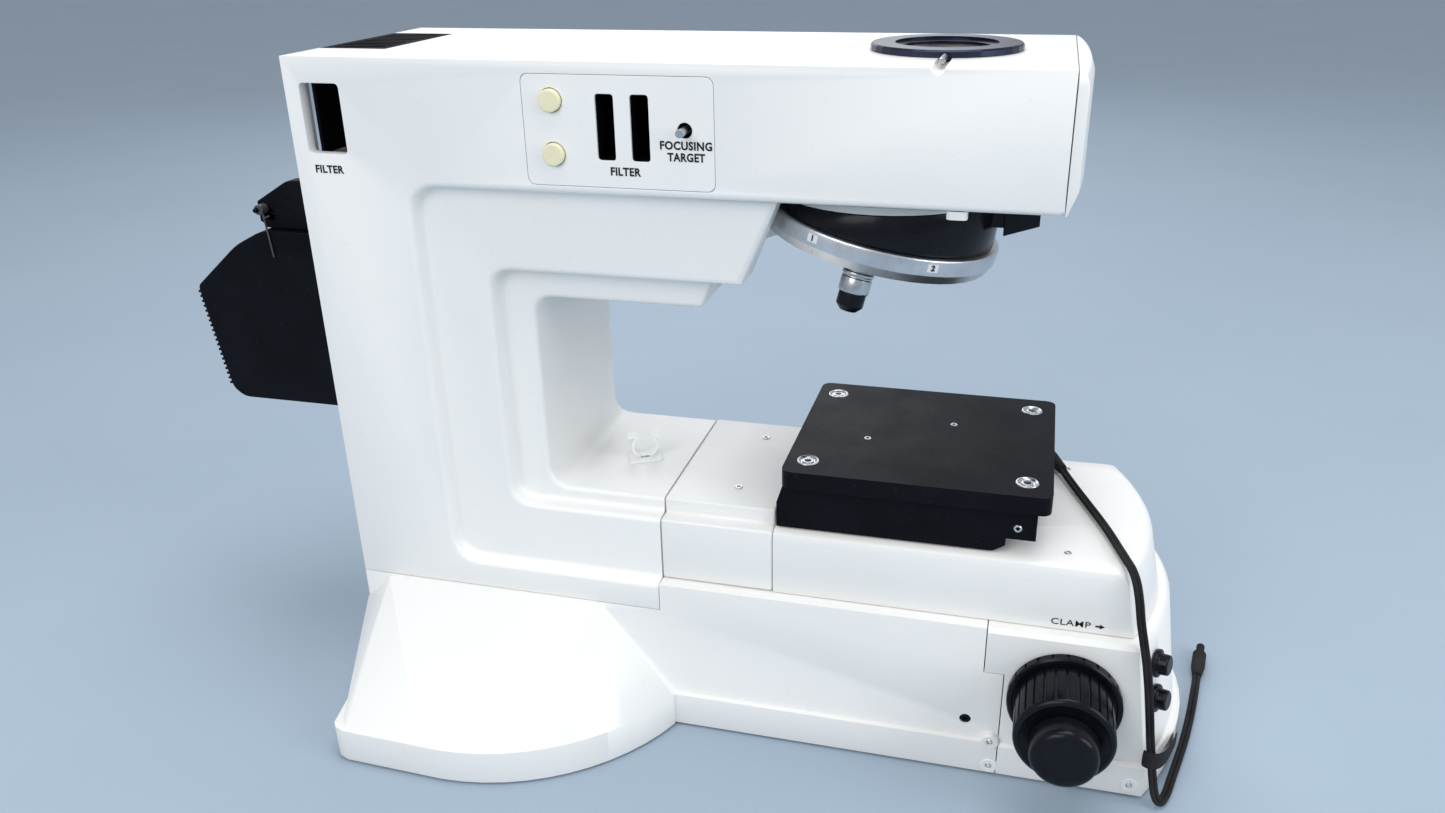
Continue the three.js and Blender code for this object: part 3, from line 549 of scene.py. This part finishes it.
def twin_section(steps=7):
    """The outline of two cores side by side: across the flat and through the thickness, in metres."""
    outline = []
    for side in (1, -1):
        for i in range(steps):
            angle = side * math.radians(-125 + 250 * i / (steps - 1))
            x = side * (CORE_OFFSET + CORE_RADIUS * math.cos(angle))
            outline.append((x * MM, side * CORE_RADIUS * math.sin(angle) * MM))
    return outline


class STAND_OT_lead(bpy.types.Operator):
    """Lay the twin-core lead over the base's front and along the table"""
    bl_idname = "stand.lead"
    bl_label = "Lead"

    def execute(self, context):
        line = smooth_route()
        outline = twin_section()
        mesh = bmesh.new()
        rings = []
        for i, place in enumerate(line):
            along = (line[min(i + 1, len(line) - 1)] - line[max(i - 1, 0)]).normalized()
            falling = min(1.0, abs(along.z) * 1.3)
            outward = Vector((0, 0, 1)).lerp(Vector((0.5, -0.86, 0)), falling).normalized()
            across = along.cross(outward).normalized()
            through = across.cross(along)
            rings.append([mesh.verts.new(place + across * u + through * v) for u, v in outline])
        count = len(outline)
        for ring, next_ring in zip(rings, rings[1:]):
            for k in range(count):
                mesh.faces.new((ring[k], ring[(k + 1) % count], next_ring[(k + 1) % count], next_ring[k]))
        mesh.faces.new(list(reversed(rings[0])))
        mesh.faces.new(rings[-1])
        bmesh.ops.recalc_face_normals(mesh, faces=mesh.faces)
        data = bpy.data.meshes.new("lead_cable")
        mesh.to_mesh(data)
        mesh.free()
        cable = bpy.data.objects.new("lead_cable", data)
        context.collection.objects.link(cable)
        tie = self.tie_strap(line)
        finish_piece(cable, "lead_cable", "stand", "rubber", ["lead"], smooth=60)
        return {"FINISHED"}

    def tie_strap(self, line):
        """A flat strap round the falling strand, its tail laid against the strand on the table."""
        middle = min(line, key=lambda p: (p - point(150, -88, 36)).length)
        path = [(-4.4, -2.2, 0), (-3.0, -3.8, 0), (0.5, -4.2, 0), (4.0, -2.6, -1), (9.0, 6.0, -4),
                (14.0, 22.0, -10), (18.6, 40.0, -17), (21.5, 52.0, -24)]
        bpy.ops.object.select_all(action="DESELECT")
        bpy.ops.mesh.primitive_plane_add(size=1)
        strap = bpy.context.object
        start = middle + Vector(path[0]) * MM
        half = Vector((0, 0, 6.5 * MM))
        for vert, co in zip(strap.data.vertices, (start - half, start - half, start + half, start + half)):
            vert.co = co
        strap.data.vertices[0].co.x -= 0.001
        strap.data.vertices[2].co.x -= 0.001
        edit(strap, "EDGE")
        for edge in bmesh.from_edit_mesh(strap.data).edges:
            edge.select_set(all(v.co.x > start.x - 0.0005 for v in edge.verts))
        bmesh.update_edit_mesh(strap.data)
        for here, there in zip(path, path[1:]):
            bpy.ops.mesh.extrude_region_move(
                TRANSFORM_OT_translate={"value": (Vector(there) - Vector(here)) * MM})
        done(strap)
        apply_modifier(strap, "SOLIDIFY", thickness=0.0009, offset=0)
        apply_modifier(strap, "SUBSURF", levels=2, render_levels=2)
        return finish_piece(strap, "lead_tie_strap", "stand", "rubber", smooth=40)


# ---- the studio ----
def area_light(name, place, target, size, power, colour=(1, 1, 1)):
    data = bpy.data.lights.new(name, "AREA")
    data.shape = "SQUARE"
    data.size = size
    data.energy = power
    data.color = colour
    lamp = bpy.data.objects.new(name, data)
    bpy.context.collection.objects.link(lamp)
    lamp.location = place
    lamp.rotation_euler = (Vector(target) - Vector(place)).to_track_quat("-Z", "Y").to_euler()
    return lamp


class STAND_OT_studio(bpy.types.Operator):
    """Set the camera, the soft lights and the plain floor"""
    bl_idname = "stand.studio"
    bl_label = "Studio"

    def execute(self, context):
        camera = bpy.data.objects.new("Camera", bpy.data.cameras.new("Camera"))
        context.collection.objects.link(camera)
        camera.data.sensor_width = 36
        camera.data.lens = 28.45
        camera.data.shift_x = -0.0112
        camera.data.clip_start = 0.01
        camera.matrix_world = (
            Matrix.Translation(point(56, -665.8, 500)) @ Matrix.Rotation(math.radians(15), 4, "Z")
            @ Matrix.Rotation(math.radians(66.3), 4, "X") @ Matrix.Rotation(math.radians(-0.9), 4, "Z"))
        context.scene.camera = camera
        area_light("Key", (-0.7, -2.0, 1.6), (0, 0, 0.2), 1.5, 24)
        area_light("Top", (0.2, 0.0, 2.2), (0, 0, 0.2), 1.4, 21)
        area_light("Side", (2.0, -0.6, 1.0), (0, 0, 0.2), 1.2, 17, (0.93, 0.96, 1.0))
        area_light("Back", (-0.6, 2.0, 1.5), (0, 0, 0.2), 1.5, 11, (0.95, 0.97, 1.0))
        world = bpy.data.worlds.new("Pale room")
        world.use_nodes = True
        world.node_tree.nodes["Background"].inputs["Color"].default_value = (0.84, 0.89, 0.96, 1)
        world.node_tree.nodes["Background"].inputs["Strength"].default_value = 0.64
        context.scene.world = world
        context.scene.view_settings.view_transform = "Standard"
        context.scene.view_settings.exposure = 0.0
        bpy.ops.object.select_all(action="DESELECT")
        bpy.ops.mesh.primitive_plane_add(size=30, location=(0, 0, -0.0003))
        floor = context.object
        bpy.ops.object.transform_apply()
        floor.name = "studio_floor"
        material, tree, shader = new_material("Pale floor", Roughness=0.7)
        out = life(tree, placed_coordinates(tree), 3, 60, 400)
        tree.links.new(blend_colour(tree, out["Patches"], (0.34, 0.42, 0.50), (0.325, 0.405, 0.485)),
                       shader.inputs["Base Color"])
        floor.data.materials.append(material)
        return {"FINISHED"}


# ---- the castings ----
def near(value, target, slack=0.4):
    return abs(value - target) < slack


def soften_casting(name, contour=None, contour_segments=4, small=()):
    """A casting's copy with wide rounds on its contour edges and small ones on the rest."""
    obj = copy_node(name)
    if contour:
        bevel_edges(obj, contour, sizes().contour_edge, contour_segments)
    apply_modifier(obj, "BEVEL", width=sizes().casting_edge, segments=3, limit_method="ANGLE",
                   angle_limit=math.radians(38), use_clamp_overlap=True)
    return obj


class STAND_OT_castings(bpy.types.Operator):
    """Round the painted castings' edges and lay their paint"""
    bl_idname = "stand.castings"
    bl_label = "Castings"

    def execute(self, context):
        def throat_step(edge):
            middle = centre_of(edge)
            return (sharp(edge) and any(along_y(edge, y) for y in (81, 72.5, 62))
                    and -300 < middle.x < -60 and 90 < middle.z < 356
                    and not near(middle.x, -155.3, 1))
        for name, contour in (("stand_frame", throat_step), ("base_casting", None), ("bridge_cover", None),
                              ("front_cover", None), ("arm_front_cap", None)):
            obj = soften_casting(name, contour)
            finish_piece(obj, name + "_enamel", "stand", "paint", [name])
        return {"FINISHED"}


# ---- the carried-over nodes ----
CARRIED = {
    "panel": ["control_panel"],
    "flange": ["turret_flange"],
    "ring_black": ["tube_mount_ring"],
    "crinkle": ["rear_port_plate", "filter_housing", "lower_mirror", "upper_mirror", "illuminator_tube",
                "beam_splitter", "turret_plate", "stage_plate", "stage_block", "lamp_housing",
                "lamp_bracket"],
    "vent": ["top_vent"],
    "plastic": ["button_switch_block", "turret_drive", "upper_front_knob", "lower_front_knob",
                "mains_inlet"],
    "cream": ["upper_button", "lower_button"],
    "steel": ["tube_clamp_screw", "target_rod"],
    "milled": ["focus_post", "focus_guide"],
    "shaft": ["focus_rack", "coarse_shaft", "fine_shaft"],
    "zinc": ["base_plate", "power_supply"],
    "glass": ["objective_lens", "lamp_bulb", "collector_lens"],
    "rubber": ["foot_1", "foot_2", "foot_3", "foot_4", "lead_gland", "lead_plug"],
}


class STAND_OT_carried_nodes(bpy.types.Operator):
    """Give each machined or moulded node its finish and a fine edge"""
    bl_idname = "stand.carried_nodes"
    bl_label = "Carried-over nodes"

    def execute(self, context):
        for material, names in CARRIED.items():
            for name in names:
                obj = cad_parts[name]
                obj.data.materials.clear()
                obj.data.materials.append(MATERIALS[material])
                weld = obj.modifiers.new("Weld", "WELD")
                weld.merge_threshold = 0.00002
                flat = obj.modifiers.new("Flat faces", "DECIMATE")
                flat.decimate_type = "DISSOLVE"
                flat.angle_limit = math.radians(0.6)
                bevel = obj.modifiers.new("Edge", "BEVEL")
                bevel.width = sizes().machined_edge
                bevel.segments = 2
                bevel.limit_method = "ANGLE"
                bevel.angle_limit = math.radians(35)
                bevel.harden_normals = False
        return {"FINISHED"}


# ---- words and numerals ----
def lettering(name, words, place, height, width=None, thick=0.00012, weight=0.0002):
    """Flat printed words whose plane faces along the place's own Z; centred on the place."""
    bpy.ops.object.select_all(action="DESELECT")
    bpy.ops.object.text_add()
    obj = bpy.context.object
    obj.data.body = words
    obj.data.align_x = "CENTER"
    obj.data.align_y = "CENTER"
    obj.data.size = height / 0.72
    obj.data.offset = weight
    obj.data.extrude = thick / 2
    obj.data.space_character = 1.08
    obj.data.resolution_u = 3
    bpy.ops.object.convert(target="MESH")
    obj = bpy.context.object
    if width:
        obj.scale.x = width / max(obj.dimensions.x, 1e-6)
        bpy.ops.object.transform_apply()
    put(obj, place @ Matrix.Translation((0, 0, thick)))
    return obj


FACING_NEAR = Matrix.Rotation(math.pi / 2, 4, "X")


def near_side(x, y, z):
    """A place on the near side, its own Z pointing out towards -Y."""
    return Matrix.Translation(point(x, y, z)) @ FACING_NEAR


class STAND_OT_lettering(bpy.types.Operator):
    """Print the words beside the controls"""
    bl_idname = "stand.lettering"
    bl_label = "Lettering"

    def execute(self, context):
        high = sizes().letter_height
        words = [
            ("word_focusing", "FOCUSING", (-127.5, PANEL_Y, 382.8), 29 * MM),
            ("word_target", "TARGET", (-127.5, PANEL_Y, 376.6), 21 * MM),
            ("word_filter_front", "FILTER", (-162.5, PANEL_Y, 367.6), 17.4 * MM),
            ("word_filter_rear", "FILTER", (-346.3, PANEL_Y, 361.8), 18.5 * MM),
        ]
        for name, text, place, width in words:
            obj = lettering(name, text, near_side(*place), high, width)
            finish_piece(obj, name, "stand", "ink_and_painted_shade")
        obj = lettering("word_clamp", "CLAMP", near_side(97.0, WORD_WALL_Y, 110.6), high * 0.95,
                        22.5 * MM, weight=0.00002)
        finish_piece(obj, "word_clamp", "stand", "ink_and_painted_shade")
        here = near_side(113.4, WORD_WALL_Y, 110.6)
        bar = block((-2.4, -0.55, 0), (0.6, 0.55, 0.16), here)
        bpy.ops.mesh.primitive_cylinder_add(vertices=3, radius=1.9 * MM, depth=0.16 * MM)
        tip = bpy.context.object
        put(tip, here @ Matrix.Translation((1.0 * MM, 0, 0.08 * MM))
            @ Matrix.Rotation(-math.pi / 2, 4, "Z"))
        finish_piece(join(bar, tip), "clamp_arrow", "stand", "ink_and_painted_shade")
        return {"FINISHED"}


# ---- turned knobs and screws ----
def groove_band(obj, sides, period, low, high, depth):
    """Presses a groove into every period-th flat of the band between two heights, in millimetres."""
    mesh = edit(obj)

    def in_groove(face):
        place = face.calc_center_median() / MM
        index = round(math.atan2(place.y, place.x) / (2 * math.pi) * sides - 0.5)
        return low < place.z < high and abs(face.normal.z) < 0.2 and index % period == 0
    if pick(obj, mesh.faces, in_groove):
        bpy.ops.mesh.inset(thickness=0.00012, depth=-depth, use_individual=True)
    return done(obj)


def focus_place(side):
    """The focus shaft's centre, with Z pointing out of the near side (-1) or the far side (1)."""
    return Matrix.Translation(point(FOCUS_X, 0, FOCUS_Z)) @ Matrix.Rotation(-side * math.pi / 2, 4, "X")


class STAND_OT_knobs(bpy.types.Operator):
    """Turn the focus clamp and the coarse and fine focus knobs"""
    bl_idname = "stand.knobs"
    bl_label = "Focus knobs"

    def execute(self, context):
        sides = sizes().rib_count * RIB_SIDES
        clamp = turn_out([(9, 81.6), (32.4, 81.6), (33.5, 82.5), (33.5, 87.1), (32.5, 88.1), (30.6, 88.1),
                          (29.8, 87.5), (9, 87.5)], CLAMP_SIDES)
        groove_band(clamp, CLAMP_SIDES, CLAMP_PERIOD, 82.6, 87.0, CLAMP_NICK)
        put(clamp, focus_place(-1))
        finish_piece(clamp, "clamp_knob_ring", "focus_clamp", "plastic", ["clamp_ring"])
        for side, label, inner in ((-1, "near", 88.6), (1, "far", 81.8)):
            coarse = turn_out([(6, inner), (27.4, inner), (28.8, inner + 1.2), (28.8, 118.4), (28.3, 119.6),
                               (27.2, 120.5), (25.6, 121), (24.6, 120.4), (6, 120.4)], sides)
            groove_band(coarse, sides, RIB_SIDES, inner + 1.4, 118.2, sizes().rib_depth)
            put(coarse, focus_place(side))
            finish_piece(coarse, f"coarse_grip_{label}", "coarse_drive", "plastic",
                         [f"coarse_knob_{label}"])
            fine = turn_out([(6, 121.5), (18.5, 121.5), (19.3, 122.4), (19.3, 133.2), (19.0, 134.8),
                             (18.3, 136.2), (17.1, 137.2), (15.4, 137.9), (12.5, 138.2), (6, 138.4)], 96)
            put(fine, focus_place(side))
            finish_piece(fine, f"fine_grip_{label}", "fine_drive", "plastic",
                         [f"fine_knob_{label}"], smooth=40)
        return {"FINISHED"}


def steel_with_painted_shade_recess(obj, radius, above):
    """Bright steel, with faces inside the radius and above the height, both in millimetres, painted dark as
    painted shade in the recess.
    """
    obj.data.materials.append(MATERIALS["steel"])
    obj.data.materials.append(MATERIALS["ink_and_painted_shade"])
    for face in obj.data.polygons:
        inside = all(math.hypot(*obj.data.vertices[i].co.xy) < radius * MM for i in face.vertices)
        face.material_index = 1 if inside and face.center.z > above * MM else 0


def screw(name, place, radius, height, body="stand", share=0.5):
    """A round head with a recess in it painted dark as painted shade, its foot at the place and its axis
    along the place's Z.
    """
    edge = min(0.35, radius * 0.2)
    hole = radius * share
    obj = turn_out([(radius, -0.4), (radius, height - edge), (radius - edge, height), (hole + 0.15, height),
                    (hole, height - 0.15), (hole * 0.92, height - min(1.1, height + 0.2))], 28)
    # The recess walls take the dark ink colour: painted shade in the hole.
    steel_with_painted_shade_recess(obj, hole + 0.05, 0)
    put(obj, place)
    finish_piece(obj, name, body, None)
    return obj


def facing_up(x, y, z):
    return Matrix.Translation(point(x, y, z))


class STAND_OT_screws(bpy.types.Operator):
    """Fit the covers' screws, the skirt's bosses and the side plug"""
    bl_idname = "stand.screws"
    bl_label = "Screws"

    def execute(self, context):
        for i, y in enumerate((-38, 38)):
            screw(f"bridge_screw_{i + 1}", facing_up(-113, y, BRIDGE_TOP), 2.6, 0.7)
        for i, y in enumerate((-56, 56)):
            screw(f"cover_screw_{i + 1}", facing_up(92, y, COVER_TOP), 2.2, 0.5)
        for side, label in ((-1, "near"), (1, "far")):
            turn = Matrix.Rotation(-side * math.pi / 2, 4, "X")
            for spot, x, z, y, high in SKIRT_SPOTS:
                boss = turn_out([(5.6, -1.5), (5.4, high - 0.8), (4.6, high), (2.4, high),
                                 (2.2, high - 0.7)], 32)
                put(boss, Matrix.Translation(point(x, side * y, z)) @ turn)
                finish_piece(boss, f"skirt_boss_{spot}_{label}", "stand", "paint")
                screw(f"skirt_screw_{spot}_{label}",
                      Matrix.Translation(point(x, side * (y + high - 0.9), z)) @ turn, 1.9, 0.7, share=0.62)
        plug = turn_out([(PLUG_RADIUS, -PLUG_DEPTH), (PLUG_RADIUS, -1.2), (3.2, -0.9), (1.6, -0.9),
                         (1.5, -2.2)], 24)
        put(plug, near_side(*PLUG_PLACE))
        finish_piece(plug, "side_plug", "stand", "plastic")
        return {"FINISHED"}


class STAND_OT_turret_marks(bpy.types.Operator):
    """Fix the numbered labels to the turret's ring"""
    bl_idname = "stand.turret_marks"
    bl_label = "Turret marks"

    def execute(self, context):
        tilted = Matrix.Translation(point(TURRET_X, 0, TURRET_Z)) @ Matrix.Rotation(TURRET_TILT, 4, "Y")
        outward = Matrix(((0, 0, 1, 0), (1, 0, 0, 0), (0, 1, 0, 0), (0, 0, 0, 1)))
        for i, degrees in enumerate(LABEL_ANGLES):
            place = (tilted @ Matrix.Rotation(math.radians(degrees), 4, "Z")
                     @ Matrix.Translation(Vector((RING_RADIUS, 0, LABEL_HEIGHT)) * MM) @ outward)
            plate = block((-3.2, -2.3, -0.35), (3.2, 2.3, 0.12), place)
            finish_piece(plate, f"turret_label_{i + 1}", "turret", "label")
            digit = lettering(f"turret_digit_{i + 1}", str(i + 1),
                              place @ Matrix.Translation((0, 0, 0.16 * MM)), 3.2 * MM)
            finish_piece(digit, f"turret_digit_{i + 1}", "turret", "ink_and_painted_shade")
        return {"FINISHED"}


class STAND_OT_stage_fittings(bpy.types.Operator):
    """Fit the stage plate's dished screws and its small locating screws"""
    bl_idname = "stand.stage_fittings"
    bl_label = "Stage fittings"

    def execute(self, context):
        corners = [(x, y) for y in (-STAGE_SCREW_Y, STAGE_SCREW_Y) for x in (-STAGE_SCREW_X, STAGE_SCREW_X)]
        for i, (x, y) in enumerate(corners):
            head = turn_out([(6.9, -2.6), (6.9, -0.1), (6.5, 0.35), (5.9, 0.45), (5.1, 0.1), (4.4, -0.6),
                             (3.6, -0.7), (3.4, -0.1), (3.1, 0.0), (2.2, 0.0), (2.0, -1.6)], 48)
            # The bottom of the head's middle hole is painted dark: painted shade.
            steel_with_painted_shade_recess(head, 2.1, -3)
            put(head, facing_up(x, y, STAGE_TOP))
            finish_piece(head, f"stage_screw_head_{i + 1}", "focus_carriage", None,
                         [f"stage_screw_{i + 1}"])
        for i, (x, y) in enumerate(((16.7, 18.7), (-34.5, -14))):
            screw(f"stage_pin_{i + 1}", facing_up(x, y, STAGE_TOP), 2.3, 0.45, "focus_carriage")
        screw("stage_side_screw", near_side(62, -66, 166), 2.4, 0.6, "focus_carriage")
        return {"FINISHED"}


def stick(start, end, radius, sides=16):
    """A round rod between two places in millimetres."""
    way = point(*end) - point(*start)
    length = way.length / MM
    turn = way.to_track_quat("Z", "Y").to_matrix().to_4x4()
    return turn_out([(radius, 0), (radius, length)], sides, Matrix.Translation(point(*start)) @ turn)


class STAND_OT_turret_shells(bpy.types.Operator):
    """Round the turret's dome, ring and objective, and join the dome to its drive"""
    bl_idname = "stand.turret_shells"
    bl_label = "Turret shells"

    def execute(self, context):
        for name, body, material, slot, angle in (
                ("turret_dome", "stand", "plastic", "black_plastic", 40),
                ("turret_ring", "turret", "turned", "aluminium", 24),
                ("objective_barrel", "turret", "steel", "steel", 24),
                ("objective_tip", "turret", "plastic", "black_plastic", 24)):
            obj = copy_node(name)
            apply_modifier(obj, "BEVEL", width=sizes().machined_edge, segments=2, limit_method="ANGLE",
                           angle_limit=math.radians(35))
            finish_piece(obj, name + "_shell", body, material, [name], smooth=angle)
        neck = round_edges(block((30, -21, 331.5), (39.4, 21, 346.2)), 0.0006, 2)
        finish_piece(neck, "turret_drive_neck", "stand", "plastic")
        return {"FINISHED"}


class STAND_OT_lamp_hinge(bpy.types.Operator):
    """Plate the lamp's bracket and bend its wire lever"""
    bl_idname = "stand.lamp_hinge"
    bl_label = "Lamp hinge"

    def execute(self, context):
        plate = join(block((-431.2, -37.4, 311.5), (-398, -34.4, 323.5)),
                     block((-422.6, -37.4, 323.2), (-398, -34.4, 334)),
                     block((-431.8, -39.6, 320.6), (-402, -34.0, 323.8)))
        round_edges(plate, 0.0008, 2)
        finish_piece(plate, "lamp_hinge_plate", "stand", "crinkle")
        wire = join(stick((-423.2, -47.8, 326.0), (-420.4, -47.8, 295.0), 0.6),
                    stick((-422.8, -47.8, 320.6), (-418.4, -47.8, 322.4), 0.5),
                    stick((-425, -49.0, 326), (-425, -42.6, 326), 3.2, 24))
        finish_piece(wire, "lamp_wire_lever", "lever", "iron", ["lamp_lever"])
        return {"FINISHED"}


class STAND_OT_lamp_fins(bpy.types.Operator):
    """Rib the lamp house's rear face for cooling"""
    bl_idname = "stand.lamp_fins"
    bl_label = "Lamp fins"

    def execute(self, context):
        low, high = point(*FIN_LOW), point(*FIN_HIGH)
        way = high - low
        turn = Matrix.Rotation(math.atan2(way.x, way.z), 4, "Y")
        rib = block((-1.0, -46.0, -0.85), (2.7, 46.0, 0.85), Matrix.Identity(4))
        round_edges(rib, 0.0005, 2)
        apply_modifier(rib, "ARRAY", count=FINS, use_relative_offset=False, use_constant_offset=True,
                       constant_offset_displace=(0, 0, way.length / (FINS - 1)))
        flip = Matrix.Rotation(math.pi, 4, "Z")
        put(rib, Matrix.Translation(low) @ turn @ flip)
        finish_piece(rib, "lamp_house_fins", "stand", "crinkle")
        return {"FINISHED"}


class STAND_OT_cable_clip(bpy.types.Operator):
    """Stick the white cable clip to the throat's floor"""
    bl_idname = "stand.cable_clip"
    bl_label = "Cable clip"

    def execute(self, context):
        here = (facing_up(CLIP_X, CLIP_Y, BRIDGE_TOP)
                @ Matrix.Rotation(math.radians(CLIP_TURN), 4, "Z"))
        pad = round_edges(block((-11, -9, 0), (11, 9, 1.8), here), 0.0005)
        bpy.ops.object.select_all(action="DESELECT")
        bpy.ops.mesh.primitive_cylinder_add(
            vertices=40, radius=9 * MM, depth=8 * MM, end_fill_type="NOTHING")
        ring = bpy.context.object
        bpy.ops.object.transform_apply()
        edit(ring)
        pick(ring, bmesh.from_edit_mesh(ring.data).faces,
             lambda f: f.calc_center_median().y > 6.4 * MM)
        bpy.ops.mesh.delete(type="FACE")
        done(ring)
        apply_modifier(ring, "SOLIDIFY", thickness=1.7 * MM, offset=-1)
        put(ring, here @ Matrix.Translation((0, 0, 10.4 * MM)) @ Matrix.Rotation(math.pi / 2, 4, "X"))
        lugs = []
        for side in (-1, 1):
            lugs.append(block((side * 7.4 - 3.6, -4, 16.2), (side * 7.4 + 3.6, 4, 17.8), here))
        foot = block((-3.2, -4, 1.4), (3.2, 4, 3.2), here)
        clip = join(pad, ring, foot, *lugs)
        finish_piece(clip, "cable_clip", "stand", "clip")
        return {"FINISHED"}


# ---- order of work ----
OPERATORS = (
    STAND_OT_finishes, STAND_OT_studio, STAND_OT_lead, STAND_OT_castings, STAND_OT_lettering,
    STAND_OT_knobs, STAND_OT_screws, STAND_OT_turret_marks, STAND_OT_stage_fittings,
    STAND_OT_turret_shells, STAND_OT_lamp_hinge, STAND_OT_lamp_fins, STAND_OT_cable_clip,
    STAND_OT_carried_nodes,
)


class STAND_PT_panel(bpy.types.Panel):
    """Lists the stand's pieces in the order they are made"""
    bl_idname = "STAND_PT_panel"
    bl_label = "Microscope stand"
    bl_space_type = "VIEW_3D"
    bl_region_type = "UI"
    bl_category = "Microscope"

    def draw(self, context):
        for group in (context.scene.stand_sizes, context.scene.stand_colours):
            for name in group.bl_rna.properties.keys():
                if name not in ("rna_type", "name"):
                    self.layout.prop(group, name)
        for operator in OPERATORS:
            self.layout.operator(operator.bl_idname)


CLASSES = (StandSizes, StandColours, *OPERATORS, STAND_PT_panel)


def register():
    for made in CLASSES:
        bpy.utils.register_class(made)
    bpy.types.Scene.stand_sizes = PointerProperty(type=StandSizes)
    bpy.types.Scene.stand_colours = PointerProperty(type=StandColours)


def unregister():
    del bpy.types.Scene.stand_colours
    del bpy.types.Scene.stand_sizes
    for made in reversed(CLASSES):
        bpy.utils.unregister_class(made)


def main():
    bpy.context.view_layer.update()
    register()
    for operator in OPERATORS:
        space, name = operator.bl_idname.split(".")
        getattr(getattr(bpy.ops, space), name)()


if __name__ == "__main__":
    main()
